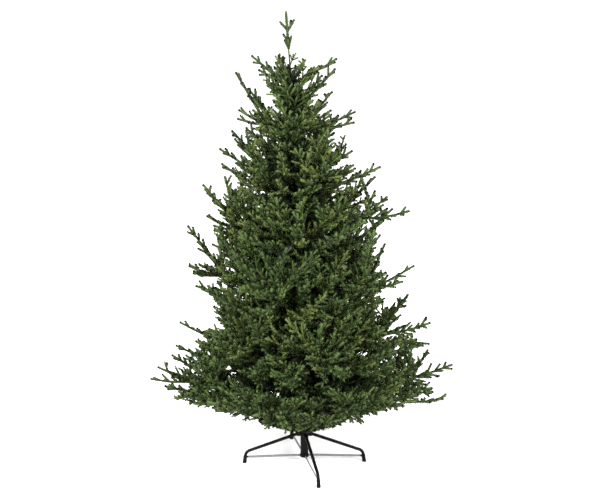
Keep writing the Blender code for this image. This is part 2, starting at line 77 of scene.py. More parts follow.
# Finer shapes of the stand
LEG_END_WIDTH = 0.55              # of the leg's flattened end, as a share of the tube's
LEG_END_LENGTH = 0.011
LEG_SHOULDER = 0.009              # in which the flattened end widens to the tube
CAP_BLANK_BOTTOM = -0.020         # along the foot, before the cap is cut flat
CAP_FLARE = 1.06
CAP_GROOVES = ((0.0045, 0.0060), (0.0085, 0.0100))    # along the foot
CAP_GROOVE_DEPTH = 0.0005
CAP_MOUTH_DEPTH = 0.004           # of the recess that the leg stands in
RING_HALF_DEPTH = 0.006
RIB_BORDER = 0.0024               # round the pressed rib of a brace
RIB_DEPTH = 0.0003
PIN_RADIUS = 0.0024
PIN_HEADS = 0.0026                # how much longer a pin is than its strip is thick
PIN_SHARES = (0.022, 0.970)       # of the brace's length
BAND_CLEARANCE = 0.0006
LUG_LENGTH = 0.009
LUG_EXTRA = 0.0022                # how much thicker the lug is than the strip
LUG_SHARE = 0.8                   # of the strip's width
LUG_INSET = 0.002
EAR_ROUNDING = 0.0085
HINGE_RADIUS = 0.0028             # of the hinge rivet, and of the screw's shaft
HINGE_HEADS = 0.0034
HINGE_SHARE = 0.62                # of the ear's length
HINGE_DROP = 0.001
NUT_RADIUS = 0.0058
NUT_DEPTH = 0.0045
NUT_PLACE = 0.0019                # out from the socket's surface

# Pole and crown, as in the part's source
LEAN = 0.0358                     # sideways run to -X for each metre of height
LEAN_HEIGHT = 0.115               # the pole crosses the stand's axis here
POLE_BOTTOM = 0.055
POLE_TOP = 1.810
POLE_SECTIONS = ((0.0140, 0.78), (0.0125, 1.34), (0.0110, POLE_TOP))   # radius, upper end
SWAGE_LENGTH = 0.030              # of the wider mouth that the next section stands in
SWAGE_EXTRA = 0.0012
# Outline, measured but for the first and last row: height, and the foliage's reach from the leaning axis
# to the left (-X) and to the right
CROWN_REACH = ((0.25, 0.45, 0.45), (0.30, 0.50, 0.51), (0.35, 0.56, 0.58), (0.40, 0.65, 0.62),
               (0.45, 0.65, 0.63), (0.50, 0.55, 0.57), (0.60, 0.52, 0.55), (0.65, 0.50, 0.55),
               (0.70, 0.46, 0.46), (0.75, 0.42, 0.44), (0.80, 0.41, 0.46), (0.85, 0.45, 0.37),
               (0.90, 0.45, 0.45), (0.95, 0.49, 0.48), (1.00, 0.43, 0.40), (1.05, 0.38, 0.37),
               (1.10, 0.41, 0.35), (1.15, 0.41, 0.40), (1.20, 0.35, 0.47), (1.25, 0.35, 0.40),
               (1.30, 0.36, 0.34), (1.35, 0.33, 0.33), (1.40, 0.28, 0.32), (1.45, 0.30, 0.23),
               (1.50, 0.25, 0.24), (1.55, 0.23, 0.24), (1.60, 0.21, 0.26), (1.65, 0.21, 0.19),
               (1.70, 0.14, 0.16), (1.75, 0.17, 0.16), (1.80, 0.16, 0.14), (1.85, 0.15, 0.14),
               (1.90, 0.12, 0.11), (1.96, 0.05, 0.05))
# Tips that stand furthest out: azimuth in degrees, height, reach. Heights and reaches of the first 18 are
# measured. Their azimuths are chosen, and the last two, in front and behind, are guessed
FURTHEST_TIPS = ((8, 0.450, 0.716), (-10, 0.725, 0.597), (12, 0.931, 0.549), (-9, 1.237, 0.508),
                 (10, 1.267, 0.422), (-8, 1.430, 0.383), (14, 1.655, 0.288), (5, 1.896, 0.203),
                 (176, 0.400, 0.712), (188, 0.610, 0.572), (170, 0.663, 0.571), (188, 0.982, 0.492),
                 (172, 1.133, 0.500), (190, 1.353, 0.410), (171, 1.492, 0.334), (187, 1.640, 0.240),
                 (176, 1.836, 0.240), (184, 1.912, 0.165), (84, 0.480, 0.685), (276, 0.480, 0.685))
# Tips of long shoots between those, at both sides: measured heights and reaches, chosen azimuths
SHOOT_TIPS = ((172, 1.759, 0.184), (190, 1.732, 0.171), (186, 1.678, 0.233), (173, 1.576, 0.273),
              (188, 1.552, 0.258), (186, 1.440, 0.320), (174, 1.293, 0.400), (188, 1.209, 0.399),
              (170, 1.050, 0.453), (187, 0.885, 0.466), (186, 0.557, 0.594), (183, 0.489, 0.663),
              (190, 0.425, 0.636), (196, 0.382, 0.592), (208, 0.387, 0.524), (-8, 1.857, 0.195),
              (9, 1.750, 0.181), (-10, 1.627, 0.273), (12, 1.515, 0.240), (-9, 1.499, 0.261),
              (11, 1.360, 0.369), (-12, 1.327, 0.361), (10, 1.091, 0.385), (-11, 1.086, 0.400),
              (12, 0.835, 0.408), (-9, 0.850, 0.498), (8, 0.775, 0.499), (-8, 0.617, 0.590),
              (10, 0.523, 0.606), (-12, 0.402, 0.609), (-22, 0.386, 0.560))
# Cones between the tiers: height on the axis, rise for each metre outward
CONES = ((0.160, 0.29), (0.320, 0.45), (0.583, 0.55), (0.855, 0.65), (1.125, 0.73), (1.390, 0.85),
         (1.670, 1.00), (1.930, 0.20))
LOW_CONE_EXTRA = 0.12             # the lowest cone is steeper by this at the front and the back
LOW_CONE_CORNER = 0.12            # and by this half way between them and the sides
# Tiers: masses, azimuth of the first, height of their roots, bough's length (0: on the pole), columns, rows
TIERS = ((6, 0.0, 0.235, 0.08, 5, 2),
         (5, 0.0, 0.470, 0.08, 4, 2),
         (5, 180.0, 0.735, 0.0, 3, 2),
         (4, 0.0, 1.010, 0.0, 3, 2),
         (4, 45.0, 1.290, 0.0, 3, 2),
         (4, 0.0, 1.565, 0.0, 3, 2),
         (3, 0.0, 1.765, 0.0, 3, 2))
TIER_NAMES = ("first", "second", "third", "fourth", "fifth", "sixth", "top")
BOUGH_RADII = (0.0075, 0.0055)
BRANCH_ANGLE = 27.0               # between a stem and its twigs
LEAST_FORK = 0.025                # from a stem's start to a twig on it
MOST_FORK = 0.75                  # of a stem's length
SPACE_MARGIN = 0.0015             # kept inside the bounds of a mass's space
TIP_SPACING = 0.105               # a target nearer than this to another is left out
SCATTER = 0.2                     # of a target within its column and row
TARGET_SHARES = (0.86, 1.0)       # of the crown's reach
TWIG_STEPS = 8                    # places along a twig at which its clearance is tested
TWIG_MARGIN = 0.008
LEADER_TIP = Vector((-0.0815, 0.0, 2.100))
LEADER_RADII = (0.0040, 0.0030)
# Azimuth, height, length, run outward for each rise
LEADER_FORKS = ((185.0, 2.024, 0.050, 0.95), (10.0, 2.016, 0.062, 0.60))
LEADER_WHORL_HEIGHT = 1.940
LEADER_SPRIGS = ((175.0, 1.976, 0.040, 0.75), (192.0, 1.946, 0.042, 0.55), (4.0, 1.950, 0.052, 0.26),
                 (100.0, 1.944, 0.046, 0.40), (262.0, 1.952, 0.046, 0.36))

# Layers of twigs inwards: share of the crown's reach, and how much further apart their tips are
FILL_LAYERS = ((1.0, 1.0), (0.84, 1.0), (0.68, 1.0), (0.52, 1.0), (0.36, 0.95), (0.20, 0.95))
TIER_SPREAD = (0.90, 0.93, 1.0, 1.0, 1.06, 1.17, 1.27)   # how much further apart a tier's twigs are
UNDERSIDE_BAND = (-0.05, 0.17)
SIDE_SECTOR = 0.35                # sine of the azimuth within which SHOOT_TIPS has the long shoots
SHOOT_SHARE = 0.30                # of the outermost twigs elsewhere that are long shoots
OVERLAP = 1.22                    # how far a tier's twigs rise into the one above
LEAST_RISE = 0.35                 # of a twig for its length, below which it costs more
SHOOT_RISE = 0.45                 # the same of a long shoot at the sides
MOST_RISE = 0.78                  # above which it costs more still
SLOPE_COST = 2.5
STEEP_COST = 8.0
LEAST_LENGTH = 0.15               # of a twig, below which it costs more
SHORT_COST = 1.6
POLE_COST = 0.02                  # of a twig that grows from the pole itself
BORDER_EASE = 0.035
INNER_SHARE = 0.60                # of the crown's reach: nearer the pole, needles are fewer and larger
INNER_NEEDLES = (1.8, 2.5, 2.5, 2.1)     # how much longer, wider, further apart and thicker at the pith
INNER_KNOTS = 1.5                 # how much further apart the knots of fingers are there
TIER_NEEDLES = (1.0, 1.0, 1.0, 1.0, 0.95, 0.87, 0.85)    # how much longer a tier's needles are
FINGER_LIFT = 0.22                # how much a finger turns up
PAIR_SHARE = 0.75                 # of the knots with a finger on both sides
TRIPLE_SHARE = 0.18               # of the knots with one more
BUD_SHARES = (0.12, 0.78)         # of the outer fingers that end in a bud: on short twigs, on long shoots
TIP_BUD_SHARE = 0.25              # of the short twigs that end in a bud themselves
POLE_RISES = (0.45, 0.65, 0.85)   # of a twig from the pole, for each metre outward
POLE_SPRIG_STEP = 0.016           # up the pole, between two sprigs that grow straight from it
POLE_SPRIG_LENGTHS = (0.036, 0.120)
HANGING_SPRAYS = 3                # under each of the lowest masses
HANGING_SHARES = (0.35, 0.75)     # of the crown's reach, where they start
SHOOT_BOW = (0.08, 0.12)          # sag of a long shoot's middle, as a share of its length
SHOOT_NEEDLES = (1.05, 1.60)      # how much longer a long shoot's needles are, and how much thicker its pith
STEM_SPACING = 1.5                # how much further apart the needles on a twig's own stem are
BODY_SHARE = 0.96                 # of the crown's reach, for the sprays between the long shoots
SIDE_BODY_SHARE = 0.91            # the same in the sectors that SHOOT_TIPS serves
NOTCH_SHARE = 0.96                # of the least reach just over and under, where there are notches
NOTCH_SECTOR = 0.70               # sine of the azimuth within which there are notches at the sides
LOWEST_NOTCH = 0.50               # height under which there are none
NOTCH = 0.05                      # height over and under a place, whose least reach counts
SHOOT_LEAN = 1.35                 # how much more its fingers lean along it
SHOOT_FINGERS = 0.80              # how long they are beside a short twig's
LOW_BOW = 0.40                    # of that sag, in the lowest tier
SHOOT_KNOTS = 0.92                # of a short twig's spacing from knot to knot
SHOOT_FORK = (0.040, 0.054)       # before its tip, where it forks
FORK_FINGERS = 1.45               # how much longer the fingers of that fork are than others so near a tip
FORK_LEAN = 0.80                  # of the others' lean along it
SHOOT_RADII = (0.0082, 0.0074, 0.0066)   # of a mass's first twig, its other long ones, the finer long ones
TWIG_RADIUS = 0.0026
TWIG_TAPER = 0.25                 # of a twig's radius, from its fork to its tip
NEEDLED_SHARE = 0.94              # of a twig's length, from its tip
STRETCH = 0.075                   # of one straight piece of a bowed twig
TWIG_FORK = (0.030, 0.044)        # before a short twig's tip, where its first knot is
KNOT_STEPS = (0.75, 1.2)          # of the finger spacing, from knot to knot
FINGER_SIZES = (0.70, 1.15)
FINGER_FORWARD = (0.66, 0.90)     # how much a finger leans along its twig
FINGER_SIDE = (0.52, 0.88)        # how much it leans to the side
FINGER_OVER = (-0.3, 0.4)         # and upwards
CUTS = (1.0, 0.7, 0.45)           # of a finger's length, tried until its space lets it be
SPUR_FINGER = 0.052               # the shortest finger that may carry a spur
SPUR_SHARE = 0.5                  # of such fingers that do
SPUR_LENGTHS = (0.024, 0.036)
SPUR_WAY = (0.8, 0.6)             # along its finger, across it
OWN_GREEN_SHARE = 0.85            # of the fingers that have their twig's green
GREEN_HEIGHTS = (0.62, 1.15, 1.45, 1.60)    # at which the greens that are dealt out change, lighter up the crown: painted light from above
LIMB_FORKS = (1.0, 0.7, 0.4)      # of the way to the source's spot, where a finer twig may fork
SAG_SLOPE = 0.7                   # of a twig that is too steep to sag
BARE_NEEDLES = (1.1, 2.2)         # how much longer and further apart needles are on a bare stretch
HANGING_TURN = 40.0               # of a hanging spray from straight outward
HANGING_LENGTHS = (0.055, 0.085)
HANGING_ROOT = 0.028              # over the lowest cone
WIRE_SIDES = 4
PITH_SIDES = 3
NEEDLE_PITCH = (47.0, 8.0)        # between a needle and its twig: mean and spread
NEEDLE_TWIST = 0.5                # spread of a needle's turn on itself
NEEDLE_POINT = 0.45               # of a needle's width, at its point

FLOOR_SIZE = 160.0
WALL_HEIGHT = 30.0                # of the floor's far edge, turned up
LIT_SPOT = UP                     # that the lights point at
KEY_PLACE = (-3.2, -4.2, 4.4)
FILL_PLACE = (3.6, -3.6, 3.0)
LIGHT_SIZE = 3.0
CAMERA_ASIDE = -0.0208            # along X

# deep and shade are painted shade for the inside of the crown; low, middle and upper step lighter with height
# as painted light from above
GREEN_NAMES = ("deep", "shade", "low", "middle", "upper", "bright")
STEM_GREENS = (0, 2, 3, 4, 5, 5)  # of the pith, for each green of the needles
PIECE_LIMIT = 190000              # triangles in one joined piece
GOLDEN_TURN = 2.39996             # from needle to needle round a twig


# ---------------------------------------------------------------- settings

def colour_property(name, description, default):
    return FloatVectorProperty(name=name, description=description, default=default, subtype="COLOR", size=3,
                               min=0.0, max=1.0)


def length_property(name, description, default):
    return FloatProperty(name=name, description=description, default=default, min=0.0, unit="LENGTH",
                         subtype="DISTANCE", precision=4)


class StandSettings(bpy.types.PropertyGroup):
    """Sizes and colours of the folding stand."""
    leg_radius: length_property("Leg radius", "Outer radius of the leg tubes", 0.0075)
    cap_radius: length_property("Cap radius", "Radius of the rubber foot caps", 0.0095)
    cap_height: length_property("Cap height", "Height of the rubber foot caps", 0.022)
    socket_radius: length_property("Socket radius", "Outer radius of the tube that holds the pole", 0.0185)
    socket_wall: length_property("Socket wall", "Wall of the tube that holds the pole", 0.0015)
    socket_bottom: length_property("Socket bottom", "Height of the socket's lower edge", 0.030)
    socket_top: length_property("Socket top", "Height of the socket's upper edge", 0.190)
    strip_thickness: length_property("Brace thickness", "Thickness of the flat braces", 0.0042)
    strip_width: length_property("Brace width", "Width of the flat braces", 0.0105)
    paint_colour: colour_property("Paint", "Powder coat on the steel tubes", (0.0020, 0.0020, 0.0022))
    strip_colour: colour_property("Braces", "Plating on the braces and the eye screw", (0.125, 0.125, 0.125))
    rubber_colour: colour_property("Rubber", "Foot caps", (0.0035, 0.0035, 0.0035))


class CrownSettings(bpy.types.PropertyGroup):
    """Sizes and colours of the pole, the twigs and their needles."""
    needle_length: length_property("Needle length", "Length of a needle", 0.0086)
    needle_width: length_property("Needle width", "Width of a needle at its root", 0.0041)
    needle_spacing: length_property("Needle spacing", "Run of twig for each needle", 0.0022)
    core_radius: length_property("Core radius", "Radius of the pith of a finger of needles", 0.0040)
    finger_length: length_property("Finger length", "Length of a twig's longest side fingers", 0.080)
    finger_spacing: length_property("Finger spacing", "Run of twig between two knots of side fingers", 0.042)
    twig_spacing: length_property("Twig spacing", "Distance between the tips of neighbouring twigs", 0.089)
    bud_length: length_property("Bud length", "Length of the bud at a finger's tip", 0.0142)
    # The deep and shade greens are painted shade: the inner sprays and the outstanding long shoots are dealt
    # these darker greens.
    deep_colour: colour_property("Deep green", "Needles near the pole", (0.0075, 0.0115, 0.0036))
    shade_colour: colour_property("Shade green", "Darker sprays", (0.0165, 0.0258, 0.0080))
    # The low, middle and upper greens lighten up the crown: painted light from above.
    low_colour: colour_property("Low green", "Sprays low on the crown", (0.0285, 0.0445, 0.0126))
    middle_colour: colour_property("Middle green", "Sprays half way up the crown", (0.0375, 0.0590, 0.0165))
    upper_colour: colour_property("Upper green", "Sprays high on the crown", (0.0480, 0.0700, 0.0220))
    bright_colour: colour_property("Bright green", "The lightest sprays", (0.0590, 0.0780, 0.0205))
    wire_colour: colour_property("Wire", "Film that is wrapped round the wires", (0.013, 0.014, 0.006))
    bud_colour: colour_property("Buds", "Buds at the tips", (0.0042, 0.0040, 0.0024))
    pole_colour: colour_property("Pole", "Paint on the pole", (0.0075, 0.0100, 0.0060))


class StageSettings(bpy.types.PropertyGroup):
    """Floor, light and camera."""
    floor_colour: colour_property("Floor", "Colour of the floor", (0.985, 0.985, 0.985))
    sky_strength: FloatProperty(name="Sky strength", description="Even light from all round",
                                default=1.38, min=0.0)
    key_power: FloatProperty(name="Key light", description="Power of the large light at the left front",
                             default=1020.0, min=0.0, unit="POWER")
    fill_power: FloatProperty(name="Fill light", description="Power of the large light at the right front",
                              default=540.0, min=0.0, unit="POWER")
    camera_distance: length_property("Camera distance", "From the camera to the tree, along the floor", 5.5)
    camera_height: length_property("Camera height", "Height of the camera above the floor", 2.488)
    camera_tilt: FloatProperty(name="Camera tilt", description="Angle of the view below level",
                               default=math.radians(14.77), subtype="ANGLE")
    camera_lens: FloatProperty(name="Lens", description="Focal length in millimetres", default=75.38, min=1.0)


# ---------------------------------------------------------------- modelling helpers

def deselect():
    bpy.ops.object.select_all(action="DESELECT")


def select_only(*pieces):
    deselect()
    for piece in pieces:
        piece.select_set(True)
    bpy.context.view_layer.objects.active = pieces[0]


def fresh(name):
    """The primitive that was just added, under a new name."""
    piece = bpy.context.active_object
    piece.name = name
    piece.data.name = name
    return piece


def apply_place(piece):
    select_only(piece)
    bpy.ops.object.transform_apply(location=True, rotation=True, scale=True)


def pick(piece, kind, test):
    """Opens a piece for editing and selects the faces or edges that pass the test."""
    select_only(piece)
    bpy.ops.object.mode_set(mode="EDIT")
    bpy.ops.mesh.select_mode(type=kind)
    bpy.ops.mesh.select_all(action="DESELECT")
    bm = bmesh.from_edit_mesh(piece.data)
    for part in bm.faces if kind == "FACE" else bm.edges:
        if test(part):
            part.select_set(True)
    bmesh.update_edit_mesh(piece.data)


def pick_faces(piece, test):
    """Selects the faces whose middle and normal pass the test."""
    pick(piece, "FACE", lambda face: test(face.calc_center_median(), face.normal))


def pick_edges(piece, test):
    """Selects the edges whose two ends pass the test."""
    pick(piece, "EDGE", lambda edge: test(edge.verts[0].co, edge.verts[1].co))


def pick_rims(piece):
    """Selects the edges that lie level."""
    pick_edges(piece, lambda a, b: abs(a.z - b.z) < 1e-6)


def close_edit():
    bpy.ops.object.mode_set(mode="OBJECT")


def extrude(way):
    bpy.ops.mesh.extrude_region_move(TRANSFORM_OT_translate={"value": tuple(way)})


def bevel(offset, segments=2):
    bpy.ops.mesh.bevel(offset=offset, offset_type="OFFSET", segments=segments, affect="EDGES")


def bevel_creases(piece, offset, angle=50.0, segments=2):
    """Rounds every crease that is sharper than an angle."""
    crease = piece.modifiers.new("crease", "BEVEL")
    crease.width = offset
    crease.segments = segments
    crease.limit_method = "ANGLE"
    crease.angle_limit = math.radians(angle)
    select_only(piece)
    bpy.ops.object.modifier_apply(modifier=crease.name)


def tube_blank(name, radius, wall, low, high, sides=48, place=(0.0, 0.0, 0.0), turn=(0.0, 0.0, 0.0)):
    """A length of tube along its own Z, open at both ends, with its rims rounded."""
    deselect()
    bpy.ops.mesh.primitive_cylinder_add(vertices=sides, radius=radius, depth=high - low)
    piece = fresh(name)
    piece.location = (0.0, 0.0, (low + high) / 2)
    apply_place(piece)
    pick_faces(piece, lambda middle, normal: abs(normal.z) > 0.9)
    bpy.ops.mesh.inset(thickness=wall, use_individual=True)
    bpy.ops.mesh.bridge_edge_loops()
    close_edit()
    pick_rims(piece)
    bevel(min(wall / 4, 0.0005))
    close_edit()
    piece.location = place
    piece.rotation_euler = turn
    apply_place(piece)
    return piece


def bar(name, size, place, turn=(0.0, 0.0, 0.0)):
    """A block of a given size."""
    deselect()
    bpy.ops.mesh.primitive_cube_add(size=1.0, location=place, rotation=turn)
    piece = fresh(name)
    piece.scale = size
    apply_place(piece)
    return piece


def rivet(name, radius, length, place, turn=(0.0, 0.0, 0.0), head=0.35):
    """A rivet or pin along its own Z, with domed ends."""
    deselect()
    bpy.ops.mesh.primitive_cylinder_add(vertices=20, radius=radius, depth=length)
    piece = fresh(name)
    pick_rims(piece)
    bevel(radius * head, 3)
    close_edit()
    piece.location = place
    piece.rotation_euler = turn
    apply_place(piece)
    return piece


def joined(name, pieces):
    select_only(*pieces)
    bpy.ops.object.join()
    pieces[0].name = name
    pieces[0].data.name = name
    return pieces[0]


def copied(piece, name, azimuth):
    """A copy with a mesh of its own, turned round the stand's axis."""
    copy = piece.copy()
    copy.data = piece.data.copy()
    copy.name = name
    copy.data.name = name
    copy.data.transform(Matrix.Rotation(math.radians(azimuth), 4, "Z"))
    bpy.context.scene.collection.objects.link(copy)
    return copy


def set_round(piece, prefix):
    """Copies of a piece turned to each leg's azimuth, in place of the piece itself."""
    copies = [copied(piece, f"{prefix}_{side}", azimuth) for side, azimuth in LEG_AZIMUTHS.items()]
    bpy.data.objects.remove(piece, do_unlink=True)
    return copies


def finish_piece(piece, materials, slot, *nodes, smooth=35.0):
    """Gives a piece its finish, sets it on the body and lets it stand for its CAD nodes."""
    if smooth:
        select_only(piece)
        bpy.ops.object.shade_smooth_by_angle(angle=math.radians(smooth))
    for material in materials:
        piece.data.materials.append(material)
    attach(piece, "root")
    if nodes:
        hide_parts(*nodes)


# ---------------------------------------------------------------- materials

def new_material(name, colour, roughness, metallic=0.0, specular=0.5):
    material = bpy.data.materials.get(name) or bpy.data.materials.new(name)
    material.use_nodes = True
    tree = material.node_tree
    tree.nodes.clear()
    output = tree.nodes.new("ShaderNodeOutputMaterial")
    shader = tree.nodes.new("ShaderNodeBsdfPrincipled")
    tree.links.new(shader.outputs["BSDF"], output.inputs["Surface"])
    shader.inputs["Base Color"].default_value = (*colour, 1.0)
    shader.inputs["Roughness"].default_value = roughness
    shader.inputs["Metallic"].default_value = metallic
    shader.inputs["Specular IOR Level"].default_value = specular
    material.diffuse_color = (*colour, 1.0)
    return material, tree, shader


def noise_on_object(tree, scale, stretch=(1.0, 1.0, 1.0), detail=3.0):
    """Noise on Object coordinates."""
    place = tree.nodes.new("ShaderNodeTexCoord")
    mapping = tree.nodes.new("ShaderNodeMapping")
    mapping.inputs["Scale"].default_value = stretch
    noise = tree.nodes.new("ShaderNodeTexNoise")
    noise.inputs["Scale"].default_value = scale
    noise.inputs["Detail"].default_value = detail
    tree.links.new(place.outputs["Object"], mapping.inputs["Vector"])
    tree.links.new(mapping.outputs["Vector"], noise.inputs["Vector"])
    return noise


def scaled(colour, factor):
    return tuple(min(1.0, channel * factor) for channel in colour)


def blend_colours(tree, shader, noise, colour, darker, lighter):
    """Base colour that runs by a noise between a darker and a lighter shade of one colour."""
    ramp = tree.nodes.new("ShaderNodeValToRGB")
    for element, position, factor in zip(ramp.color_ramp.elements, (0.35, 0.65), (darker, lighter)):
        element.position = position
        element.color = (*scaled(colour, factor), 1.0)
    tree.links.new(noise.outputs["Fac"], ramp.inputs["Fac"])
    tree.links.new(ramp.outputs["Color"], shader.inputs["Base Color"])


def vary_roughness(tree, shader, noise, low, high):
    span = tree.nodes.new("ShaderNodeMapRange")
    span.inputs["To Min"].default_value = low
    span.inputs["To Max"].default_value = high
    tree.links.new(noise.outputs["Fac"], span.inputs["Value"])
    tree.links.new(span.outputs["Result"], shader.inputs["Roughness"])


def raise_bumps(tree, shader, noise, distance, strength=0.5):
    bump = tree.nodes.new("ShaderNodeBump")
    bump.inputs["Distance"].default_value = distance
    bump.inputs["Strength"].default_value = strength
    tree.links.new(noise.outputs["Fac"], bump.inputs["Height"])
    tree.links.new(bump.outputs["Normal"], shader.inputs["Normal"])


def black_paint():
    """Semi-gloss powder coat: a fine orange peel, and a little dust in the colour."""
    colour = bpy.context.scene.tree_stand.paint_colour
    material, tree, shader = new_material("black powder coat", colour, 0.42, specular=0.06)
    blend_colours(tree, shader, noise_on_object(tree, 55.0), colour, 0.8, 1.5)
    vary_roughness(tree, shader, noise_on_object(tree, 90.0), 0.36, 0.52)
    raise_bumps(tree, shader, noise_on_object(tree, 900.0, detail=2.0), 0.0001, 0.35)
    return material


def grey_plating():
    """Dull rolled strip with fine lengthwise scratches and a cloudy surface."""
    colour = bpy.context.scene.tree_stand.strip_colour
    material, tree, shader = new_material("grey plated strip", colour, 0.45, metallic=0.35)
    blend_colours(tree, shader, noise_on_object(tree, 120.0), colour, 0.78, 1.15)
    scratches = noise_on_object(tree, 260.0, stretch=(0.15, 0.15, 4.0))
    vary_roughness(tree, shader, scratches, 0.35, 0.58)
    raise_bumps(tree, shader, scratches, 0.00008, 0.3)
    return material


def cap_rubber():
    """Matt rubber with a fine grain."""
    colour = bpy.context.scene.tree_stand.rubber_colour
    material, tree, shader = new_material("black cap rubber", colour, 0.8, specular=0.05)
    blend_colours(tree, shader, noise_on_object(tree, 200.0), colour, 0.8, 1.8)
    raise_bumps(tree, shader, noise_on_object(tree, 1400.0), 0.0001, 0.5)
    return material


def pole_paint():
    """Dark green coat on the pole, its tone varied a little by a noise drawn out along the pole."""
    colour = bpy.context.scene.tree_crown.pole_colour
    material, tree, shader = new_material("dark green pole coat", colour, 0.5, specular=0.12)
    blend_colours(tree, shader, noise_on_object(tree, 30.0, stretch=(1.0, 1.0, 0.3)), colour, 0.75, 1.5)
    vary_roughness(tree, shader, noise_on_object(tree, 70.0), 0.42, 0.62)
    raise_bumps(tree, shader, noise_on_object(tree, 700.0), 0.0001, 0.4)
    return material


def wire_film():
    """Film that is wound round the wires: dark green with brown, in fine ridges."""
    colour = bpy.context.scene.tree_crown.wire_colour
    material, tree, shader = new_material("wound wire film", colour, 0.7, specular=0.08)
    blend_colours(tree, shader, noise_on_object(tree, 160.0), colour, 0.7, 1.6)
    raise_bumps(tree, shader, noise_on_object(tree, 1200.0, stretch=(1.0, 1.0, 2.5)), 0.0004, 0.6)
    return material


def bud_brown():
    """Brown buds with a lighter fleck."""
    colour = bpy.context.scene.tree_crown.bud_colour
    material, tree, shader = new_material("brown bud", colour, 0.75, specular=0.03)
    blend_colours(tree, shader, noise_on_object(tree, 420.0), colour, 0.7, 1.5)
    return material


def needle_greens():
    """The greens that are dealt out by spray: each a plain colour, with a roughness that varies along it. The
    deep and shade greens carry painted shade, and the low to upper greens painted light from above.
    """
    crown = bpy.context.scene.tree_crown
    greens = []
    for name in GREEN_NAMES:
        colour = getattr(crown, f"{name}_colour")
        material, tree, shader = new_material(f"{name} green needles", colour, 0.6, specular=0.10)
        vary_roughness(tree, shader, noise_on_object(tree, 250.0, detail=1.0), 0.5, 0.72)
        greens.append(material)
    return greens


# ---------------------------------------------------------------- stand

def leg_bend():
    """The bend between the leg's two straight runs: its start, its centre and the angle it turns through."""
    inward = (LEG_ROOT - LEG_CORNER).normalized()
    outward = (LEG_FOOT - LEG_CORNER).normalized()
    half_angle = inward.angle(outward) / 2
    first = LEG_CORNER + inward * LEG_BEND_RADIUS / math.tan(half_angle)
    centre = LEG_CORNER + (inward + outward).normalized() * LEG_BEND_RADIUS / math.sin(half_angle)
    return first, centre, math.pi - 2 * half_angle


def leg_blank():
    """One leg along +X: a flattened end for the hinge, a straight run, a round bend and a short foot."""
    radius = bpy.context.scene.tree_stand.leg_radius
    first, centre, turn = leg_bend()
    way = (LEG_CORNER - LEG_ROOT).normalized()
    deselect()
    bpy.ops.mesh.primitive_circle_add(vertices=24, radius=radius, fill_type="NGON", location=LEG_ROOT,
                                      rotation=(0.0, math.atan2(way.x, way.z), 0.0))
    leg = fresh("leg_blank")
    apply_place(leg)
    pick_faces(leg, lambda middle, normal: True)
    bpy.ops.transform.resize(value=(1.0, LEG_END_WIDTH, 1.0), center_override=tuple(LEG_ROOT))
    extrude(way * LEG_END_LENGTH)
    extrude(way * LEG_SHOULDER)
    shoulder = way * (LEG_END_LENGTH + LEG_SHOULDER)
    bpy.ops.transform.resize(value=(1.0, 1.0 / LEG_END_WIDTH, 1.0),
                             center_override=tuple(LEG_ROOT + shoulder))
    extrude(first - LEG_ROOT - shoulder)
    bpy.ops.mesh.spin(steps=10, angle=-turn, center=tuple(centre), axis=(0.0, 1.0, 0.0))
    after = Matrix.Rotation(turn, 3, "Y") @ (first - centre) + centre
    extrude(LEG_FOOT - after)
    bpy.ops.mesh.select_all(action="SELECT")
    bpy.ops.mesh.remove_doubles(threshold=0.00001)
    bpy.ops.mesh.normals_make_consistent(inside=False)
    close_edit()
    return leg


def cap_blank():
    """One foot cap along +X: a rubber sleeve on the slanting foot, ringed, and cut flat where it stands."""
    stand = bpy.context.scene.tree_stand
    up = (LEG_CORNER - LEG_FOOT).normalized()
    low, high = CAP_BLANK_BOTTOM, stand.cap_height - LEG_FOOT.z
    tilt = (0.0, math.atan2(up.x, up.z), 0.0)
    deselect()
    bpy.ops.mesh.primitive_cone_add(vertices=32, radius1=stand.cap_radius * CAP_FLARE,
                                    radius2=stand.cap_radius, depth=high - low,
                                    location=LEG_FOOT + up * (low + high) / 2, rotation=tilt)
    cap = fresh("cap_blank")
    apply_place(cap)
    pick_faces(cap, lambda middle, normal: True)
    bpy.ops.mesh.bisect(plane_co=(0.0, 0.0, 0.0), plane_no=(0.0, 0.0, 1.0), use_fill=True, clear_inner=True)
    for height in sum(CAP_GROOVES, ()):
        bpy.ops.mesh.select_all(action="SELECT")
        bpy.ops.mesh.bisect(plane_co=tuple(LEG_FOOT + up * height), plane_no=tuple(up))
    close_edit()
    pick_faces(cap, lambda middle, normal: abs(normal.dot(up)) < 0.5 and any(
        a < (middle - LEG_FOOT).dot(up) < b for a, b in CAP_GROOVES))
    bpy.ops.transform.shrink_fatten(value=-CAP_GROOVE_DEPTH)
    close_edit()
    pick_faces(cap, lambda middle, normal: normal.dot(up) > 0.9)
    bpy.ops.mesh.inset(thickness=stand.cap_radius - stand.leg_radius - GAP)
    extrude(-up * CAP_MOUTH_DEPTH)
    close_edit()
    bevel_creases(cap, 0.0004, 55.0)
    return cap


def brace_ends():
    """The brace's two ends along +X, and the place on the leg that its band goes round."""
    stand = bpy.context.scene.tree_stand
    share = (BRACE_OUTER_HEIGHT - LEG_FOOT.z) / (LEG_CORNER.z - LEG_FOOT.z)
    leg_spot = LEG_FOOT.lerp(LEG_CORNER, share)
    start = Vector((stand.socket_radius + 2 * GAP + RING_WALL, 0.0, BRACE_INNER_HEIGHT))
    end = Vector((leg_spot.x - stand.leg_radius - GAP - BAND_CLEARANCE, 0.0, BRACE_OUTER_HEIGHT))
    return start, end, leg_spot


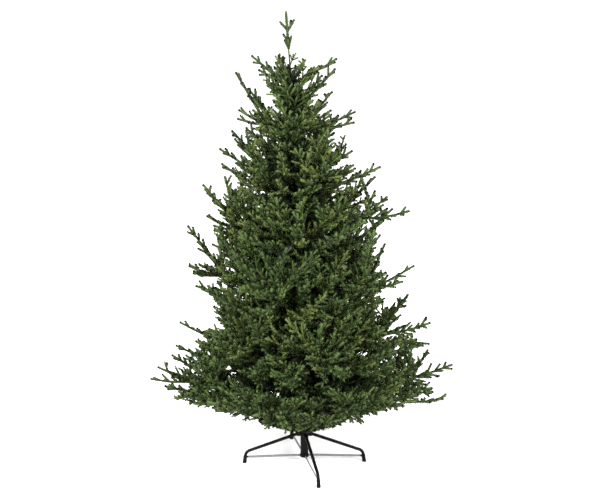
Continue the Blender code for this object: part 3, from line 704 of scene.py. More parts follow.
def brace_blank():
    """One brace along +X: a flat strip on edge with a pressed rib, and a pin at each end."""
    stand = bpy.context.scene.tree_stand
    start, end, _ = brace_ends()
    along = end - start
    slope = math.atan2(-along.z, along.x)
    strip = bar("strip", (along.length, stand.strip_thickness, stand.strip_width), (start + end) / 2,
                (0.0, slope, 0.0))
    pick_faces(strip, lambda middle, normal: abs(normal.y) > 0.9)
    bpy.ops.mesh.inset(thickness=RIB_BORDER, depth=-RIB_DEPTH, use_individual=True)
    close_edit()
    bevel_creases(strip, 0.0003)
    pins = [rivet("pin", PIN_RADIUS, stand.strip_thickness + PIN_HEADS, start.lerp(end, share), ACROSS)
            for share in PIN_SHARES]
    return joined("brace_blank", [strip] + pins)


def band_blank():
    """The band round one leg that holds its brace, along +X, with the lug that the brace is pinned to."""
    stand = bpy.context.scene.tree_stand
    _, end, leg_spot = brace_ends()
    up = (LEG_CORNER - LEG_FOOT).normalized()
    band = tube_blank("band", stand.leg_radius + GAP + BAND_WALL, BAND_WALL, -stand.strip_width / 2,
                      stand.strip_width / 2, 32, leg_spot, (0.0, math.atan2(up.x, up.z), 0.0))
    size = (LUG_LENGTH, stand.strip_thickness + LUG_EXTRA, stand.strip_width * LUG_SHARE)
    lug = bar("lug", size, end - Vector((LUG_INSET, 0.0, 0.0)))
    bevel_creases(lug, 0.0004)
    return joined("band_blank", [band, lug])


def ears_blank():
    """The two ears that one leg hinges between, along +X, with the hinge rivet through them."""
    stand = bpy.context.scene.tree_stand
    inner = stand.socket_radius + GAP
    offset = stand.leg_radius + GAP + EAR_THICKNESS / 2
    start = math.sqrt((inner + HUB_WALL / 2) ** 2 - offset ** 2)
    length, height = EAR_SIZE
    pieces = []
    for side in (-1, 1):
        ear = bar("ear", (length, EAR_THICKNESS, height), (start + length / 2, side * offset, HUB_HEIGHT))
        pick_edges(ear, lambda a, b: abs(a.y - b.y) > 0.001 and min(a.x, b.x) > start + length - 0.001)
        bevel(EAR_ROUNDING, 6)
        close_edit()
        bevel_creases(ear, 0.0003, 60.0)
        pieces.append(ear)
    pieces.append(rivet("hinge rivet", HINGE_RADIUS, 2 * offset + EAR_THICKNESS + HINGE_HEADS,
                        (start + length * HINGE_SHARE, 0.0, HUB_HEIGHT - HINGE_DROP), ACROSS))
    return joined("ears_blank", pieces)


# ---------------------------------------------------------------- pole

def pole_radius(height):
    return next(radius for radius, end in POLE_SECTIONS if height <= end)


def lean_place(piece):
    """Leans a piece that was made upright with the pole."""
    piece.rotation_euler = (0.0, -math.atan(LEAN), 0.0)
    piece.location = (LEAN * LEAN_HEIGHT, 0.0, 0.0)
    apply_place(piece)


def pole_blank():
    """The pole in three sections, raised from one disc: each lower section ends in a wider mouth."""
    deselect()
    radius = POLE_SECTIONS[0][0]
    bpy.ops.mesh.primitive_circle_add(vertices=40, radius=radius, fill_type="NGON",
                                      location=(0.0, 0.0, POLE_BOTTOM))
    pole = fresh("pole_tube")
    apply_place(pole)
    pick_faces(pole, lambda middle, normal: True)
    height = POLE_BOTTOM
    for index, (radius, end) in enumerate(POLE_SECTIONS):
        last = index == len(POLE_SECTIONS) - 1
        stop = end if last else end - SWAGE_LENGTH
        extrude((0.0, 0.0, stop - height))
        if last:
            continue
        ratio = (radius + SWAGE_EXTRA) / radius
        extrude((0.0, 0.0, 0.0012))
        bpy.ops.transform.resize(value=(ratio, ratio, 1.0), center_override=(0.0, 0.0, stop + 0.0012))
        extrude((0.0, 0.0, end - stop - 0.0012))
        bpy.ops.mesh.inset(thickness=radius + SWAGE_EXTRA - POLE_SECTIONS[index + 1][0])
        height = end
    bpy.ops.mesh.inset(thickness=0.0018)
    extrude((0.0, 0.0, -0.003))
    bpy.ops.mesh.select_all(action="SELECT")
    bpy.ops.mesh.normals_make_consistent(inside=False)
    close_edit()
    bevel_creases(pole, 0.0005, 50.0)
    lean_place(pole)
    return pole


def collar_blank(tier):
    """The plastic collar that a tier's boughs are held in, with a lug for each bough."""
    masses, first, root_height, _, _, _ = TIERS[tier]
    radius = pole_radius(root_height)
    depth, wall = 0.018, 0.0038
    collar = tube_blank("collar", radius + GAP + wall, wall, root_height - depth / 2 - 0.004,
                        root_height + depth / 2 - 0.004, 20)
    lugs = []
    for number in range(masses):
        azimuth = first + 360.0 * number / masses
        lug = bar("lug", (0.010, 0.013, 0.015), (radius + wall + 0.002, 0.0, root_height - 0.004))
        bevel_creases(lug, 0.0012, segments=1)
        lugs.append(lug)
        lug.data.transform(Matrix.Rotation(math.radians(azimuth), 4, "Z"))
    collar = joined(f"bough_collar_{tier + 1}", [collar] + lugs)
    lean_place(collar)
    return collar


# ---------------------------------------------------------------- the crown's rule, as in the part's source

def axis_point(height):
    return Vector((-LEAN * (height - LEAN_HEIGHT), 0.0, height))


def polar_point(azimuth, distance, height):
    angle = math.radians(azimuth)
    return Vector((distance * math.cos(angle), distance * math.sin(angle), height))


def crown_reach(height, azimuth):
    heights, left, right = zip(*CROWN_REACH)
    left, right = np.interp(height, heights, left), np.interp(height, heights, right)
    return float((left + right) / 2 + (right - left) / 2 * math.cos(azimuth))


def cone_height(index, distance, azimuth):
    foot, rise = CONES[index]
    if index == 0:
        rise += LOW_CONE_EXTRA * math.sin(azimuth) ** 2 + LOW_CONE_CORNER * abs(math.sin(2 * azimuth))
    return foot + rise * distance


def body_reach(height, azimuth):
    """The reach of the sprays between the long shoots: at the sides the least of that just over and under."""
    aside = abs(math.sin(azimuth))
    if aside < NOTCH_SECTOR and height > LOWEST_NOTCH:
        return NOTCH_SHARE * min(crown_reach(height + step, azimuth) for step in (-NOTCH, 0.0, NOTCH))
    return crown_reach(height, azimuth) * (SIDE_BODY_SHARE if aside < SIDE_SECTOR else BODY_SHARE)


class Space:
    """One mass's space: a sector of a tier, between the cone under it and the cone over it."""

    def __init__(self, tier, number):
        masses, first, _, _, _, _ = TIERS[tier]
        self.tier = tier
        self.half_width = math.pi / masses
        self.middle = math.radians(first) + 2 * math.pi * number / masses

    def surface_point(self, across, up, share):
        azimuth = self.middle + (2 * across - 1) * self.half_width
        height = 1.0
        for _ in range(12):
            distance = crown_reach(height, azimuth) * share
            low = cone_height(self.tier, distance, azimuth)
            high = cone_height(self.tier + 1, distance, azimuth)
            height = (height + low + (high - low) * up) / 2
        outward = Vector((math.cos(azimuth), math.sin(azimuth), 0.0))
        return axis_point(height) + outward * distance

    def place(self, point):
        """A point's distance from the axis, its azimuth, and its angle from the sector's middle."""
        offset = point - axis_point(point.z)
        azimuth = math.atan2(offset.y, offset.x)
        aside = abs((azimuth - self.middle + math.pi) % (2 * math.pi) - math.pi)
        return math.hypot(offset.x, offset.y), azimuth, aside

    def holds(self, point, margin=SPACE_MARGIN):
        distance, azimuth, aside = self.place(point)
        if aside >= self.half_width or distance * math.sin(self.half_width - aside) < margin:
            return False
        if distance < POLE_SECTIONS[-1][0]:
            return False
        if point.z - cone_height(self.tier, distance, azimuth) < 1.5 * margin:
            return False
        return cone_height(self.tier + 1, distance, azimuth) - point.z > 2.5 * margin

    def lets(self, point, reach, ease):
        """Whether a finger may end here: over a bound to a neighbour by the ease, but within the reach."""
        distance, azimuth, aside = self.place(point)
        if distance > (reach or body_reach(point.z, azimuth)):
            return False
        if distance * math.sin(min(max(aside - self.half_width, 0.0), math.pi / 2)) > ease:
            return False
        low_ease = 0.012 if self.tier == 0 else ease
        high_ease = 0.0 if self.tier == len(TIERS) - 1 else 2.5 * ease
        if point.z < cone_height(self.tier, distance, azimuth) - low_ease:
            return False
        return point.z < cone_height(self.tier + 1, distance, azimuth) + high_ease


def branch_spot(start, end, target):
    along = (end - start).normalized()
    foot = (target - start).dot(along)
    aside = (target - start - along * foot).length
    spot = foot - aside / math.tan(math.radians(BRANCH_ANGLE))
    return start + along * max(LEAST_FORK, min(spot, (end - start).length * MOST_FORK))


def mass_limbs(tier, number):
    """The source's rule for one mass: its root at the pole, its stem's start, and its twigs."""
    _, _, root_height, bough_length, columns, rows = TIERS[tier]
    rng = random.Random(100 * tier + number)
    space = Space(tier, number)
    leading = space.surface_point(0.5, 0.45, 0.97)
    outward = Vector((math.cos(space.middle), math.sin(space.middle), 0.0))
    rise = (leading - axis_point(root_height)).normalized()
    root = axis_point(root_height) + outward * (pole_radius(root_height) + GAP + BOUGH_RADII[0] * rise.z)
    way = (leading - root).normalized()
    start = root + way * (bough_length + GAP) if bough_length else root
    twigs = [(start, leading, rng.uniform(-20.0, 20.0))]
    tips = [axis_point(height) + polar_point(azimuth, reach, 0.0) for azimuth, height, reach in FURTHEST_TIPS]
    targets = [tip for tip in tips if space.holds(tip, 0.01)]
    for row in range(rows):
        for column in range(columns):
            across = (column + 0.5 + rng.uniform(-SCATTER, SCATTER)) / columns
            up = (row + 0.5 + rng.uniform(-SCATTER, SCATTER)) / rows
            target = space.surface_point(across, up, rng.uniform(*TARGET_SHARES))
            if all((target - other).length > TIP_SPACING for other in targets):
                targets.append(target)
    for target in targets:
        fork = branch_spot(start, leading, target)
        roll = rng.uniform(-60.0, 60.0)
        if all(space.holds(fork.lerp(target, step / TWIG_STEPS), TWIG_MARGIN)
               for step in range(TWIG_STEPS + 1)):
            twigs.append((fork, target, roll))
    return root, start, twigs


# ---------------------------------------------------------------- finer growth

class Growth:
    """What a tier grows: stretches of wire, runs of needles along them, and buds."""

    def __init__(self):
        self.wires = []           # start, end, radius at the start, radius at the end, sides
        self.cores = []           # the same and the green of the spray, for the pith of needled stretches
        self.runs = []            # start, end, core radius, needle length, width, spacing, green, tip or not
        self.buds = []            # place, direction, length


class Limb:
    """A twig on a slightly bowed wire, with a level side and an upper side."""

    def __init__(self, fork, tip, roll, bow_side=0.0, bow_down=0.0):
        self.fork = fork
        self.tip = tip
        self.length = (tip - fork).length
        self.along = (tip - fork).normalized()
        level = Vector((-self.along.y, self.along.x, 0.0)).normalized()
        self.level = Matrix.Rotation(math.radians(roll), 3, self.along) @ level
        self.over = self.along.cross(self.level)
        if self.over.z < 0:
            self.level, self.over = -self.level, -self.over
        slack = max(0.0, 1.0 - self.along.z / SAG_SLOPE)
        self.bow = (self.level * bow_side - self.over * bow_down * slack) * self.length

    def at(self, run):
        return self.fork + self.along * run + self.bow * math.sin(math.pi * run / self.length)

    def way(self, run):
        """The twig's own direction at a place along its bow."""
        turn = self.bow * (math.pi / self.length) * math.cos(math.pi * run / self.length)
        return (self.along + turn).normalized()

    def spots_for(self, target):
        """Where a finer twig may leave this one for a target: the source's spot, and two nearer the root."""
        run = min((branch_spot(self.fork, self.tip, target) - self.fork).length, self.length)
        return [self.at(max(run * share, 0.02)) for share in LIMB_FORKS]


def green_for(rng, height, share):
    """The green of a spray, by its height and its share of the crown's reach: darker inwards and on the long
    shoots as painted shade, lighter up the crown as painted light from above.
    """
    low, middle, light, high = GREEN_HEIGHTS
    # Inner sprays get the deep and shade greens: painted shade inside the crown.
    if share < 0.50:
        return 0 if height < light else rng.choice((0, 1))
    if share < 0.72:
        return rng.choice((0, 1, 1, 2) if height < light else (1, 2, 2, 3))
    # Long shoots that stand out past the crown's reach get darker greens: painted shade on them.
    if share > 0.99:
        return rng.choice((1, 1, 1, 2, 2))
    # Further out, greens run lighter from the low crown to the upper crown: painted light from above.
    if height < low:
        return rng.choice((1, 1, 2, 2, 2, 3, 5))
    if height < middle:
        return rng.choice((1, 2, 2, 3, 3, 3, 5))
    if height < high:
        return rng.choice((1, 2, 3, 3, 4, 4, 5))
    return rng.choice((1, 2, 2, 3, 3, 4, 5))


def twig_cost(fork, target, least_rise):
    """A twig's length, made dearer where it would be short, would not rise, or would stand too steeply."""
    way = target - fork
    flat = SLOPE_COST * max(0.0, least_rise * way.length - way.z)
    steep = STEEP_COST * max(0.0, way.z - MOST_RISE * way.length)
    return way.length + flat + steep + SHORT_COST * max(0.0, LEAST_LENGTH - way.length)


def pole_spots(space, target):
    """Places on the pole, within the tier, from which a twig to the target rises gently."""
    reach, azimuth, _ = space.place(target)
    spots = []
    foot, top = CONES[space.tier][0], min(CONES[space.tier + 1][0], POLE_TOP - 0.01)
    for rise in POLE_RISES:
        height = max(foot, min(target.z - rise * reach, top))
        radius = pole_radius(height)
        if reach > radius + 0.03:
            outward = Vector((radius * math.cos(azimuth), radius * math.sin(azimuth), 0.0))
            spots.append(axis_point(height) + outward)
    return spots


def nearest_fork(space, limbs, target, least_rise=LEAST_RISE):
    """The place on the limbs or the pole from which a twig to the target costs least, or None."""
    reach, _, _ = space.place(target)
    spots = [spot for limb in limbs for spot in limb.spots_for(target) if space.place(spot)[0] < reach]
    costs = [(twig_cost(spot, target, least_rise), tuple(spot)) for spot in spots]
    for spot in pole_spots(space, target):
        costs.append((twig_cost(spot, target, least_rise) + POLE_COST, tuple(spot)))
    return Vector(min(costs)[1]) if costs else None


def shoot_bow(space, rng):
    """The sag of a long shoot, as a share of its length."""
    return rng.uniform(*SHOOT_BOW) * (LOW_BOW if space.tier == 0 else 1.0)


def long_shoots(space, limbs, rng):
    """The long shoots at both sides, each from the limb that it leaves most shortly."""
    shoots = []
    for azimuth, height, reach in SHOOT_TIPS:
        target = axis_point(height) + polar_point(azimuth, reach, 0.0)
        fork = nearest_fork(space, limbs, target, SHOOT_RISE)
        if space.holds(target, 0.0) and fork:
            shoots.append(Limb(fork, target, rng.uniform(-35.0, 35.0), rng.uniform(-0.03, 0.03),
                               shoot_bow(space, rng)))
    return shoots


def finer_limbs(space, limbs, rng, spacing):
    """Twigs that fill the space between the source's own, each from the limb that it leaves most shortly."""
    finer = []
    for layer, wider in FILL_LAYERS:
        step = spacing * wider * TIER_SPREAD[space.tier]
        distance, azimuth, _ = space.place(space.surface_point(0.5, 0.5, layer))
        depth = cone_height(space.tier + 1, distance, azimuth) - cone_height(space.tier, distance, azimuth)
        columns = max(1, round(2 * space.half_width * distance / step))
        rows = max(1, round(depth / step))
        overlap = 1.0 if space.tier == len(TIERS) - 1 else OVERLAP
        bands = [(row / rows * overlap, overlap / rows) for row in range(rows)]
        if space.tier == 0:
            bands.append(UNDERSIDE_BAND)
        for low, width in bands:
            for column in range(columns):
                across = (column + rng.uniform(0.0, 1.0)) / columns * 1.12 - 0.06
                up = low + width * rng.uniform(0.1, 0.9)
                share = layer * rng.uniform(0.88, 0.98)
                aside = abs(math.sin(space.middle + (2 * across - 1) * space.half_width))
                if layer == 1.0 and aside > SIDE_SECTOR and rng.random() < SHOOT_SHARE:
                    share = rng.uniform(1.02, 1.12)
                target = space.surface_point(across, up, share)
                distance, azimuth, _ = space.place(target)
                if share < 1.0 and distance > body_reach(target.z, azimuth):
                    target = axis_point(target.z).lerp(target, body_reach(target.z, azimuth) / distance)
                if any((target - limb.tip).length < step * 0.55 for limb in limbs + finer):
                    continue
                fork = nearest_fork(space, limbs, target)
                if fork and (target - fork).length > 0.04:
                    finer.append(Limb(fork, target, rng.uniform(-50.0, 50.0), rng.uniform(-0.04, 0.04),
                                      rng.uniform(0.01, 0.07)))
    return finer


class Needles:
    """Sizes of needles and pith: larger and further apart on inner twigs, stouter on long shoots."""

    def __init__(self, crown, inner, size, long):
        longer, wider, sparser, thicker = INNER_NEEDLES if inner else (1.0, 1.0, 1.0, 1.0)
        shoot_longer, shoot_thicker = SHOOT_NEEDLES if long else (1.0, 1.0)
        self.inner = inner
        self.length = crown.needle_length * longer * shoot_longer * size
        self.width = crown.needle_width * wider
        self.spacing = crown.needle_spacing * sparser
        self.core = crown.core_radius * thicker * shoot_thicker * size
        self.bud_share = 0.0 if inner else BUD_SHARES[int(long)]


def grow_run(growth, start, end, radii, needles, green, tip, bare=False, stem=False):
    """A stretch of twig: needles on a thick pith, sparser on a stem, few and dark on a bare wire."""
    if bare:
        longer, sparser = BARE_NEEDLES
        growth.wires.append((start, end, *radii, WIRE_SIDES))
        # Needles on a bare stretch take the deep green: painted shade near the twig's root.
        growth.runs.append((start, end, radii[1], needles.length * longer, needles.width,
                            needles.spacing * sparser, 0, tip))
        return
    radii = [max(radius, needles.core) for radius in radii]
    spacing = needles.spacing * (STEM_SPACING if stem else 1.0)
    pith = STEM_GREENS[STEM_GREENS[green]] if stem else STEM_GREENS[green]
    growth.cores.append((start, end, *radii, PITH_SIDES, pith))
    growth.runs.append((start, end, needles.core, needles.length, needles.width, spacing, green, tip))


def grow_finger(growth, base, tip, green, needles, crown, rng):
    """One finger of needles on a thin wire, blunt or with a bud at its tip."""
    along = (tip - base).normalized()
    budded = rng.random() < needles.bud_share
    size = crown.bud_length * rng.uniform(0.75, 1.15)
    end = tip - along * (needles.length * 0.3 + (0.55 * size if budded else 0.0))
    grow_run(growth, base, end, (needles.core, needles.core * 0.9), needles, green, 1.0)
    if budded:
        growth.buds.append((tip - along * size, along, size))


def knot(rng):
    """The fingers of one knot, as how far each leans to the side and upwards."""
    hand = rng.choice((-1, 1))
    fingers = [(hand * rng.uniform(*FINGER_SIDE), rng.uniform(*FINGER_OVER))]
    if rng.random() < PAIR_SHARE:
        fingers.append((-hand * rng.uniform(*FINGER_SIDE), rng.uniform(*FINGER_OVER)))
    if rng.random() < TRIPLE_SHARE:
        fingers.append((rng.uniform(-0.3, 0.3), rng.choice((0.7, 0.7, -0.6))))
    return fingers


def grow_side_finger(growth, base, run, space, reach, green, needles, crown, rng):
    """A side finger, cut short where its space asks for it, and on a long one sometimes a spur."""
    for cut in CUTS:
        end = base + run * cut
        if not space.lets(end, reach, BORDER_EASE):
            continue
        grow_finger(growth, base, end, green, needles, crown, rng)
        if not needles.inner and run.length * cut > SPUR_FINGER and rng.random() < SPUR_SHARE:
            forward, sideways = SPUR_WAY
            spur_base = base.lerp(end, rng.uniform(0.42, 0.62))
            way = run.normalized()
            across = way.cross(UP).normalized() * rng.choice((-1, 1))
            spur = spur_base + (way * forward + across * sideways).normalized() * rng.uniform(*SPUR_LENGTHS)
            if space.lets(spur, reach, BORDER_EASE):
                grow_finger(growth, spur_base, spur, green, needles, crown, rng)
        return


def grow_limb(growth, limb, space, crown, rng, radius, reach):
    """A twig: its wire, needles along its outer stretch, and knots of fingers that leave its sides."""
    distance, azimuth, _ = space.place(limb.tip)
    share = distance / crown_reach(limb.tip.z, azimuth)
    green = green_for(rng, limb.tip.z, share)
    long = radius > TWIG_RADIUS
    needles = Needles(crown, share < INNER_SHARE, TIER_NEEDLES[space.tier], long)
    length = limb.length
    stretch = NEEDLED_SHARE * length
    pieces = max(1, round(length / STRETCH))
    stops = [length * index / pieces for index in range(pieces + 1)]
    for low, high in zip(stops, stops[1:]):
        radii = [radius * (1.0 - TWIG_TAPER * place / length) for place in (low, high)]
        grow_run(growth, limb.at(low), limb.at(high), radii, needles, green, float(high == stops[-1]),
                 bare=high <= length - stretch, stem=not (needles.inner or long))
    if long or rng.random() < TIP_BUD_SHARE:
        way = limb.way(length)
        growth.buds.append((limb.tip - way * crown.bud_length * 0.6, way, crown.bud_length))
    lift = Vector((0.0, 0.0, FINGER_LIFT * max(0.0, 1.0 - limb.along.z)))
    back = rng.uniform(*(SHOOT_FORK if long else TWIG_FORK))
    fingers, lean = (FORK_FINGERS * SHOOT_FINGERS, FORK_LEAN * SHOOT_LEAN) if long else (1.0, 1.0)
    while back < stretch:
        size = crown.finger_length * (0.34 + 0.66 * min(1.0, back / 0.16))
        for side, over in knot(rng):
            base = limb.at(length - back + rng.uniform(-0.004, 0.004))
            forward = limb.way(length - back) * rng.uniform(*FINGER_FORWARD) * lean
            way = (limb.level * side + limb.over * over + forward).normalized()
            way = (way + lift).normalized()
            mine = green if rng.random() < OWN_GREEN_SHARE else green_for(rng, base.z, share)
            run = way * size * rng.uniform(*FINGER_SIZES) * fingers
            grow_side_finger(growth, base, run, space, reach, mine, needles, crown, rng)
        wider = INNER_KNOTS if needles.inner or back > 0.25 else SHOOT_KNOTS if long else 1.0
        back += crown.finger_spacing * rng.uniform(*KNOT_STEPS) * wider
        fingers, lean = (SHOOT_FINGERS, SHOOT_LEAN) if long else (1.0, 1.0)


def grow_pole_sprigs(growth, space, crown, rng):
    """Short sprigs, dark with painted shade, that grow straight from the pole between the boughs."""
    needles = Needles(crown, True, 0.8, False)
    height = CONES[space.tier][0] + 0.02
    while height < min(CONES[space.tier + 1][0], POLE_TOP - 0.02):
        azimuth = math.degrees(space.middle + space.half_width * rng.uniform(-0.9, 0.9))
        base = axis_point(height) + polar_point(azimuth, pole_radius(height), 0.0)
        short, long = POLE_SPRIG_LENGTHS
        length = max(short, min(long, 0.3 * crown_reach(height, space.middle))) * rng.uniform(0.7, 1.1)
        tip = base + polar_point(azimuth, 0.8, rng.uniform(0.35, 1.0)).normalized() * length
        if space.lets(tip, 0.0, 0.5):
            # Sprigs at the pole take the deep and shade greens: painted shade inside the crown.
            grow_finger(growth, base, tip, rng.choice((0, 0, 1)), needles, crown, rng)
        height += POLE_SPRIG_STEP


def grow_hanging_sprays(growth, space, crown, rng):
    """Small sprays that hang a little under the lowest masses."""
    needles = Needles(crown, False, 1.0, False)
    for _ in range(HANGING_SPRAYS):
        turn = space.half_width * rng.uniform(-0.9, 0.9)
        azimuth = math.degrees(space.middle + turn)
        reach = crown_reach(CONES[1][0], space.middle + turn) * rng.uniform(*HANGING_SHARES)
        height = cone_height(0, reach, space.middle + turn) + HANGING_ROOT
        base = axis_point(height) + polar_point(azimuth, reach, 0.0)
        aimed = azimuth + rng.uniform(-HANGING_TURN, HANGING_TURN)
        along = polar_point(aimed, 1.0, rng.uniform(-0.60, -0.30)).normalized()
        length = rng.uniform(*HANGING_LENGTHS)
        green = rng.choice((1, 2, 2))
        grow_finger(growth, base, base + along * length, green, needles, crown, rng)
        across = along.cross(UP).normalized()
        for side in (-1, 1):
            fork = base + along * length * rng.uniform(0.30, 0.60)
            way = (along * 0.8 + across * 0.6 * side).normalized()
            tip = fork + way * length * rng.uniform(0.35, 0.50)
            grow_finger(growth, fork, tip, green, needles, crown, rng)


def grow_tier(tier):
    """Every mass of a tier, as one growth for each mass."""
    crown = bpy.context.scene.tree_crown
    growths = []
    for number in range(TIERS[tier][0]):
        space = Space(tier, number)
        rng = random.Random(3000 + 100 * tier + number)
        _, _, twigs = mass_limbs(tier, number)
        limbs = [Limb(*twigs[0])]
        for fork, tip, roll in twigs[1:]:
            limbs.append(Limb(fork, tip, roll, rng.uniform(-0.02, 0.02), shoot_bow(space, rng)))
        shoots = long_shoots(space, limbs, rng)
        growth = Growth()
        for limb in limbs + shoots:
            distance, _, _ = space.place(limb.tip)
            radius = SHOOT_RADII[int(limb is not limbs[0])]
            grow_limb(growth, limb, space, crown, rng, radius, distance + 0.004)
        for limb in finer_limbs(space, limbs + shoots, rng, crown.twig_spacing):
            distance, azimuth, _ = space.place(limb.tip)
            long = distance > crown_reach(limb.tip.z, azimuth)
            radius = SHOOT_RADII[2] if long else TWIG_RADIUS
            grow_limb(growth, limb, space, crown, rng, radius, distance + 0.004 if long else 0.0)
        grow_pole_sprigs(growth, space, crown, rng)
        if tier == 0:
            grow_hanging_sprays(growth, space, crown, rng)
        growths.append(growth)
    return growths


def unit(vectors):
    return vectors / np.maximum(np.linalg.norm(vectors, axis=1, keepdims=True), 1e-9)


def across_of(along):
    """Two directions across each direction."""
    upright = np.tile(np.array((0.0, 0.0, 1.0)), (len(along), 1))
    steep = np.abs(along[:, 2]) > 0.97
    upright[steep] = (1.0, 0.0, 0.0)
    side = unit(np.cross(along, upright))
    return side, np.cross(side, along)


def needle_arrays(runs, seed):
    """Needles as tapered strips of two triangles, set round their twigs: corners, triangles and greens."""
    rng = np.random.default_rng(seed)
    start = np.array([run[0] for run in runs])
    end = np.array([run[1] for run in runs])
    core, size, width, spacing, green, tip = np.array([run[2:8] for run in runs]).T
    length = np.linalg.norm(end - start, axis=1)
    along = unit(end - start)
    side, over = across_of(along)
    counts = np.maximum(2, np.round(length / spacing)).astype(int)
    owner = np.repeat(np.arange(len(runs)), counts)
    order = np.arange(len(owner)) - np.repeat(np.cumsum(counts) - counts, counts)
    total = len(owner)
    part = (order + rng.uniform(0.2, 0.8, total)) / counts[owner]
    angle = order * GOLDEN_TURN + owner * 1.7 + rng.normal(0.0, 0.25, total)
    radial = side[owner] * np.cos(angle)[:, None] + over[owner] * np.sin(angle)[:, None]
    pitch = np.radians(rng.normal(*NEEDLE_PITCH, total)) * (1.0 - 0.30 * tip[owner] * part ** 6)
    way = along[owner] * np.cos(pitch)[:, None] + radial * np.sin(pitch)[:, None]
    reach = size[owner] * rng.uniform(0.85, 1.10, total)
    run = length[owner] * part - tip[owner] * part ** 3 * size[owner] * 0.45
    root = start[owner] + along[owner] * run[:, None] + radial * (core[owner] * 0.5)[:, None]
    point = root + way * reach[:, None]
    flat = unit(np.cross(way, radial))
    facing = np.cross(flat, way)
    twist = rng.normal(0.0, NEEDLE_TWIST, total)
    wide = flat * np.cos(twist)[:, None] + facing * np.sin(twist)[:, None]
    half = (width[owner] * rng.uniform(0.42, 0.56, total))[:, None]
    corners = np.stack((root - wide * half, root + wide * half, point + wide * half * NEEDLE_POINT,
                        point - wide * half * NEEDLE_POINT), axis=1).reshape(-1, 3)
    first = np.arange(total)[:, None] * 4
    faces = np.concatenate((first + (0, 1, 2), first + (0, 2, 3)), axis=1).reshape(-1, 3)
    return corners, faces, np.repeat(green[owner].astype(int), 2)


def wire_arrays(wires):
    """Tapered prisms with closed ends, of three or four sides."""
    corners, faces, offset = [], [], 0
    for sides in sorted({wire[4] for wire in wires}):
        chosen = [wire for wire in wires if wire[4] == sides]
        start, end, thick, thin = (np.array([wire[column] for wire in chosen]) for column in range(4))
        side, over = across_of(unit(end - start))
        angle = 2 * np.pi * np.arange(sides) / sides
        ring = side[:, None] * np.cos(angle)[None, :, None] + over[:, None] * np.sin(angle)[None, :, None]
        low = start[:, None] + ring * thick[:, None, None]
        high = end[:, None] + ring * thin[:, None, None]
        corners.append(np.concatenate((low, high), axis=1).reshape(-1, 3))
        pattern = []
        for corner in range(sides):
            following = (corner + 1) % sides
            pattern += [(corner, corner + sides, following + sides), (corner, following + sides, following)]
        for corner in range(1, sides - 1):
            pattern += [(0, corner, corner + 1), (sides, sides + corner + 1, sides + corner)]
        first = offset + np.arange(len(chosen))[:, None, None] * 2 * sides
        faces.append((first + np.array(pattern)[None]).reshape(-1, 3))
        offset += len(chosen) * 2 * sides
    return np.concatenate(corners), np.concatenate(faces)


def core_arrays(cores):
    """The pith of the needled stretches, with the greens of their sprays."""
    corners, faces = wire_arrays(cores)
    return corners, faces, np.repeat([core[5] for core in cores], len(faces) // len(cores))


def bud_arrays(buds):
    """Buds as slim eight-sided grains."""
    place = np.array([bud[0] for bud in buds])
    along = unit(np.array([bud[1] for bud in buds]))
    length = np.array([bud[2] for bud in buds])[:, None]
    side, over = across_of(along)
    waist = place + along * length * 0.6
    radius = length * 0.50
    corners = np.stack((place, waist + side * radius, waist + over * radius, waist - side * radius,
                        waist - over * radius, place + along * length), axis=1).reshape(-1, 3)
    pattern = []
    for corner in range(4):
        following = (corner + 1) % 4
        pattern += [(0, 1 + corner, 1 + following), (5, 1 + following, 1 + corner)]
    first = np.arange(len(buds))[:, None, None] * 6
    return corners, (first + np.array(pattern)[None]).reshape(-1, 3)


def spray_arrays(growth, seed):
    """A growth's needles and their pith together."""
    return joined_arrays([needle_arrays(growth.runs, seed), core_arrays(growth.cores)])


def arrays_piece(name, arrays, materials, slot, *nodes, smooth=0.0):
    """A joined mesh from corners, triangles and, with several materials, the choice of each triangle."""
    corners, faces, *choice = arrays
    mesh = bpy.data.meshes.new(name)
    mesh.vertices.add(len(corners))
    mesh.vertices.foreach_set("co", np.ascontiguousarray(corners, dtype=np.float32).ravel())
    mesh.loops.add(faces.size)
    mesh.loops.foreach_set("vertex_index", np.ascontiguousarray(faces, dtype=np.int32).ravel())
    mesh.polygons.add(len(faces))
    mesh.polygons.foreach_set("loop_start", np.arange(0, faces.size, 3, dtype=np.int32))
    for material in materials:
        mesh.materials.append(material)
    if choice:
        mesh.polygons.foreach_set("material_index", np.ascontiguousarray(choice[0], dtype=np.int32))
    mesh.update(calc_edges=True)
    mesh.validate()
    piece = bpy.data.objects.new(name, mesh)
    bpy.context.scene.collection.objects.link(piece)
    finish_piece(piece, (), slot, *nodes, smooth=smooth)


def joined_arrays(batch):
    """Several sets of corners, triangles and greens as one."""
    offsets = np.cumsum([0] + [len(corners) for corners, _, _ in batch[:-1]])
    return (np.concatenate([corners for corners, _, _ in batch]),
            np.concatenate([faces + offset for (_, faces, _), offset in zip(batch, offsets)]),
            np.concatenate([choice for _, _, choice in batch]))


def dress_tier(tier, growths, greens, film, brown):
    """A tier's pieces: its wires, its buds, and its needles in as many pieces as their limit asks for."""
    name = f"{TIER_NAMES[tier]}_tier"
    nodes = [f"{name}_foliage_{number + 1}" for number in range(len(growths))]
    wires = [wire for growth in growths for wire in growth.wires]
    if wires:
        arrays_piece(f"{name}_wires", wire_arrays(wires), [film], "bough", *nodes)
    buds = [bud for growth in growths for bud in growth.buds]
    arrays_piece(f"{name}_buds", bud_arrays(buds), [brown], "bough", *nodes)
    batches, count = [([], [])], 0
    for number, growth in enumerate(growths):
        arrays = spray_arrays(growth, 9000 + 100 * tier + number)
        if batches[-1][0] and count + len(arrays[1]) > PIECE_LIMIT:
            batches.append(([], []))
            count = 0
        batches[-1][0].append(arrays)
        batches[-1][1].append(nodes[number])
        count += len(arrays[1])
    for letter, (batch, batch_nodes) in zip("abcdef", batches):
        arrays_piece(f"{name}_needles_{letter}", joined_arrays(batch), greens, "foliage", *batch_nodes)


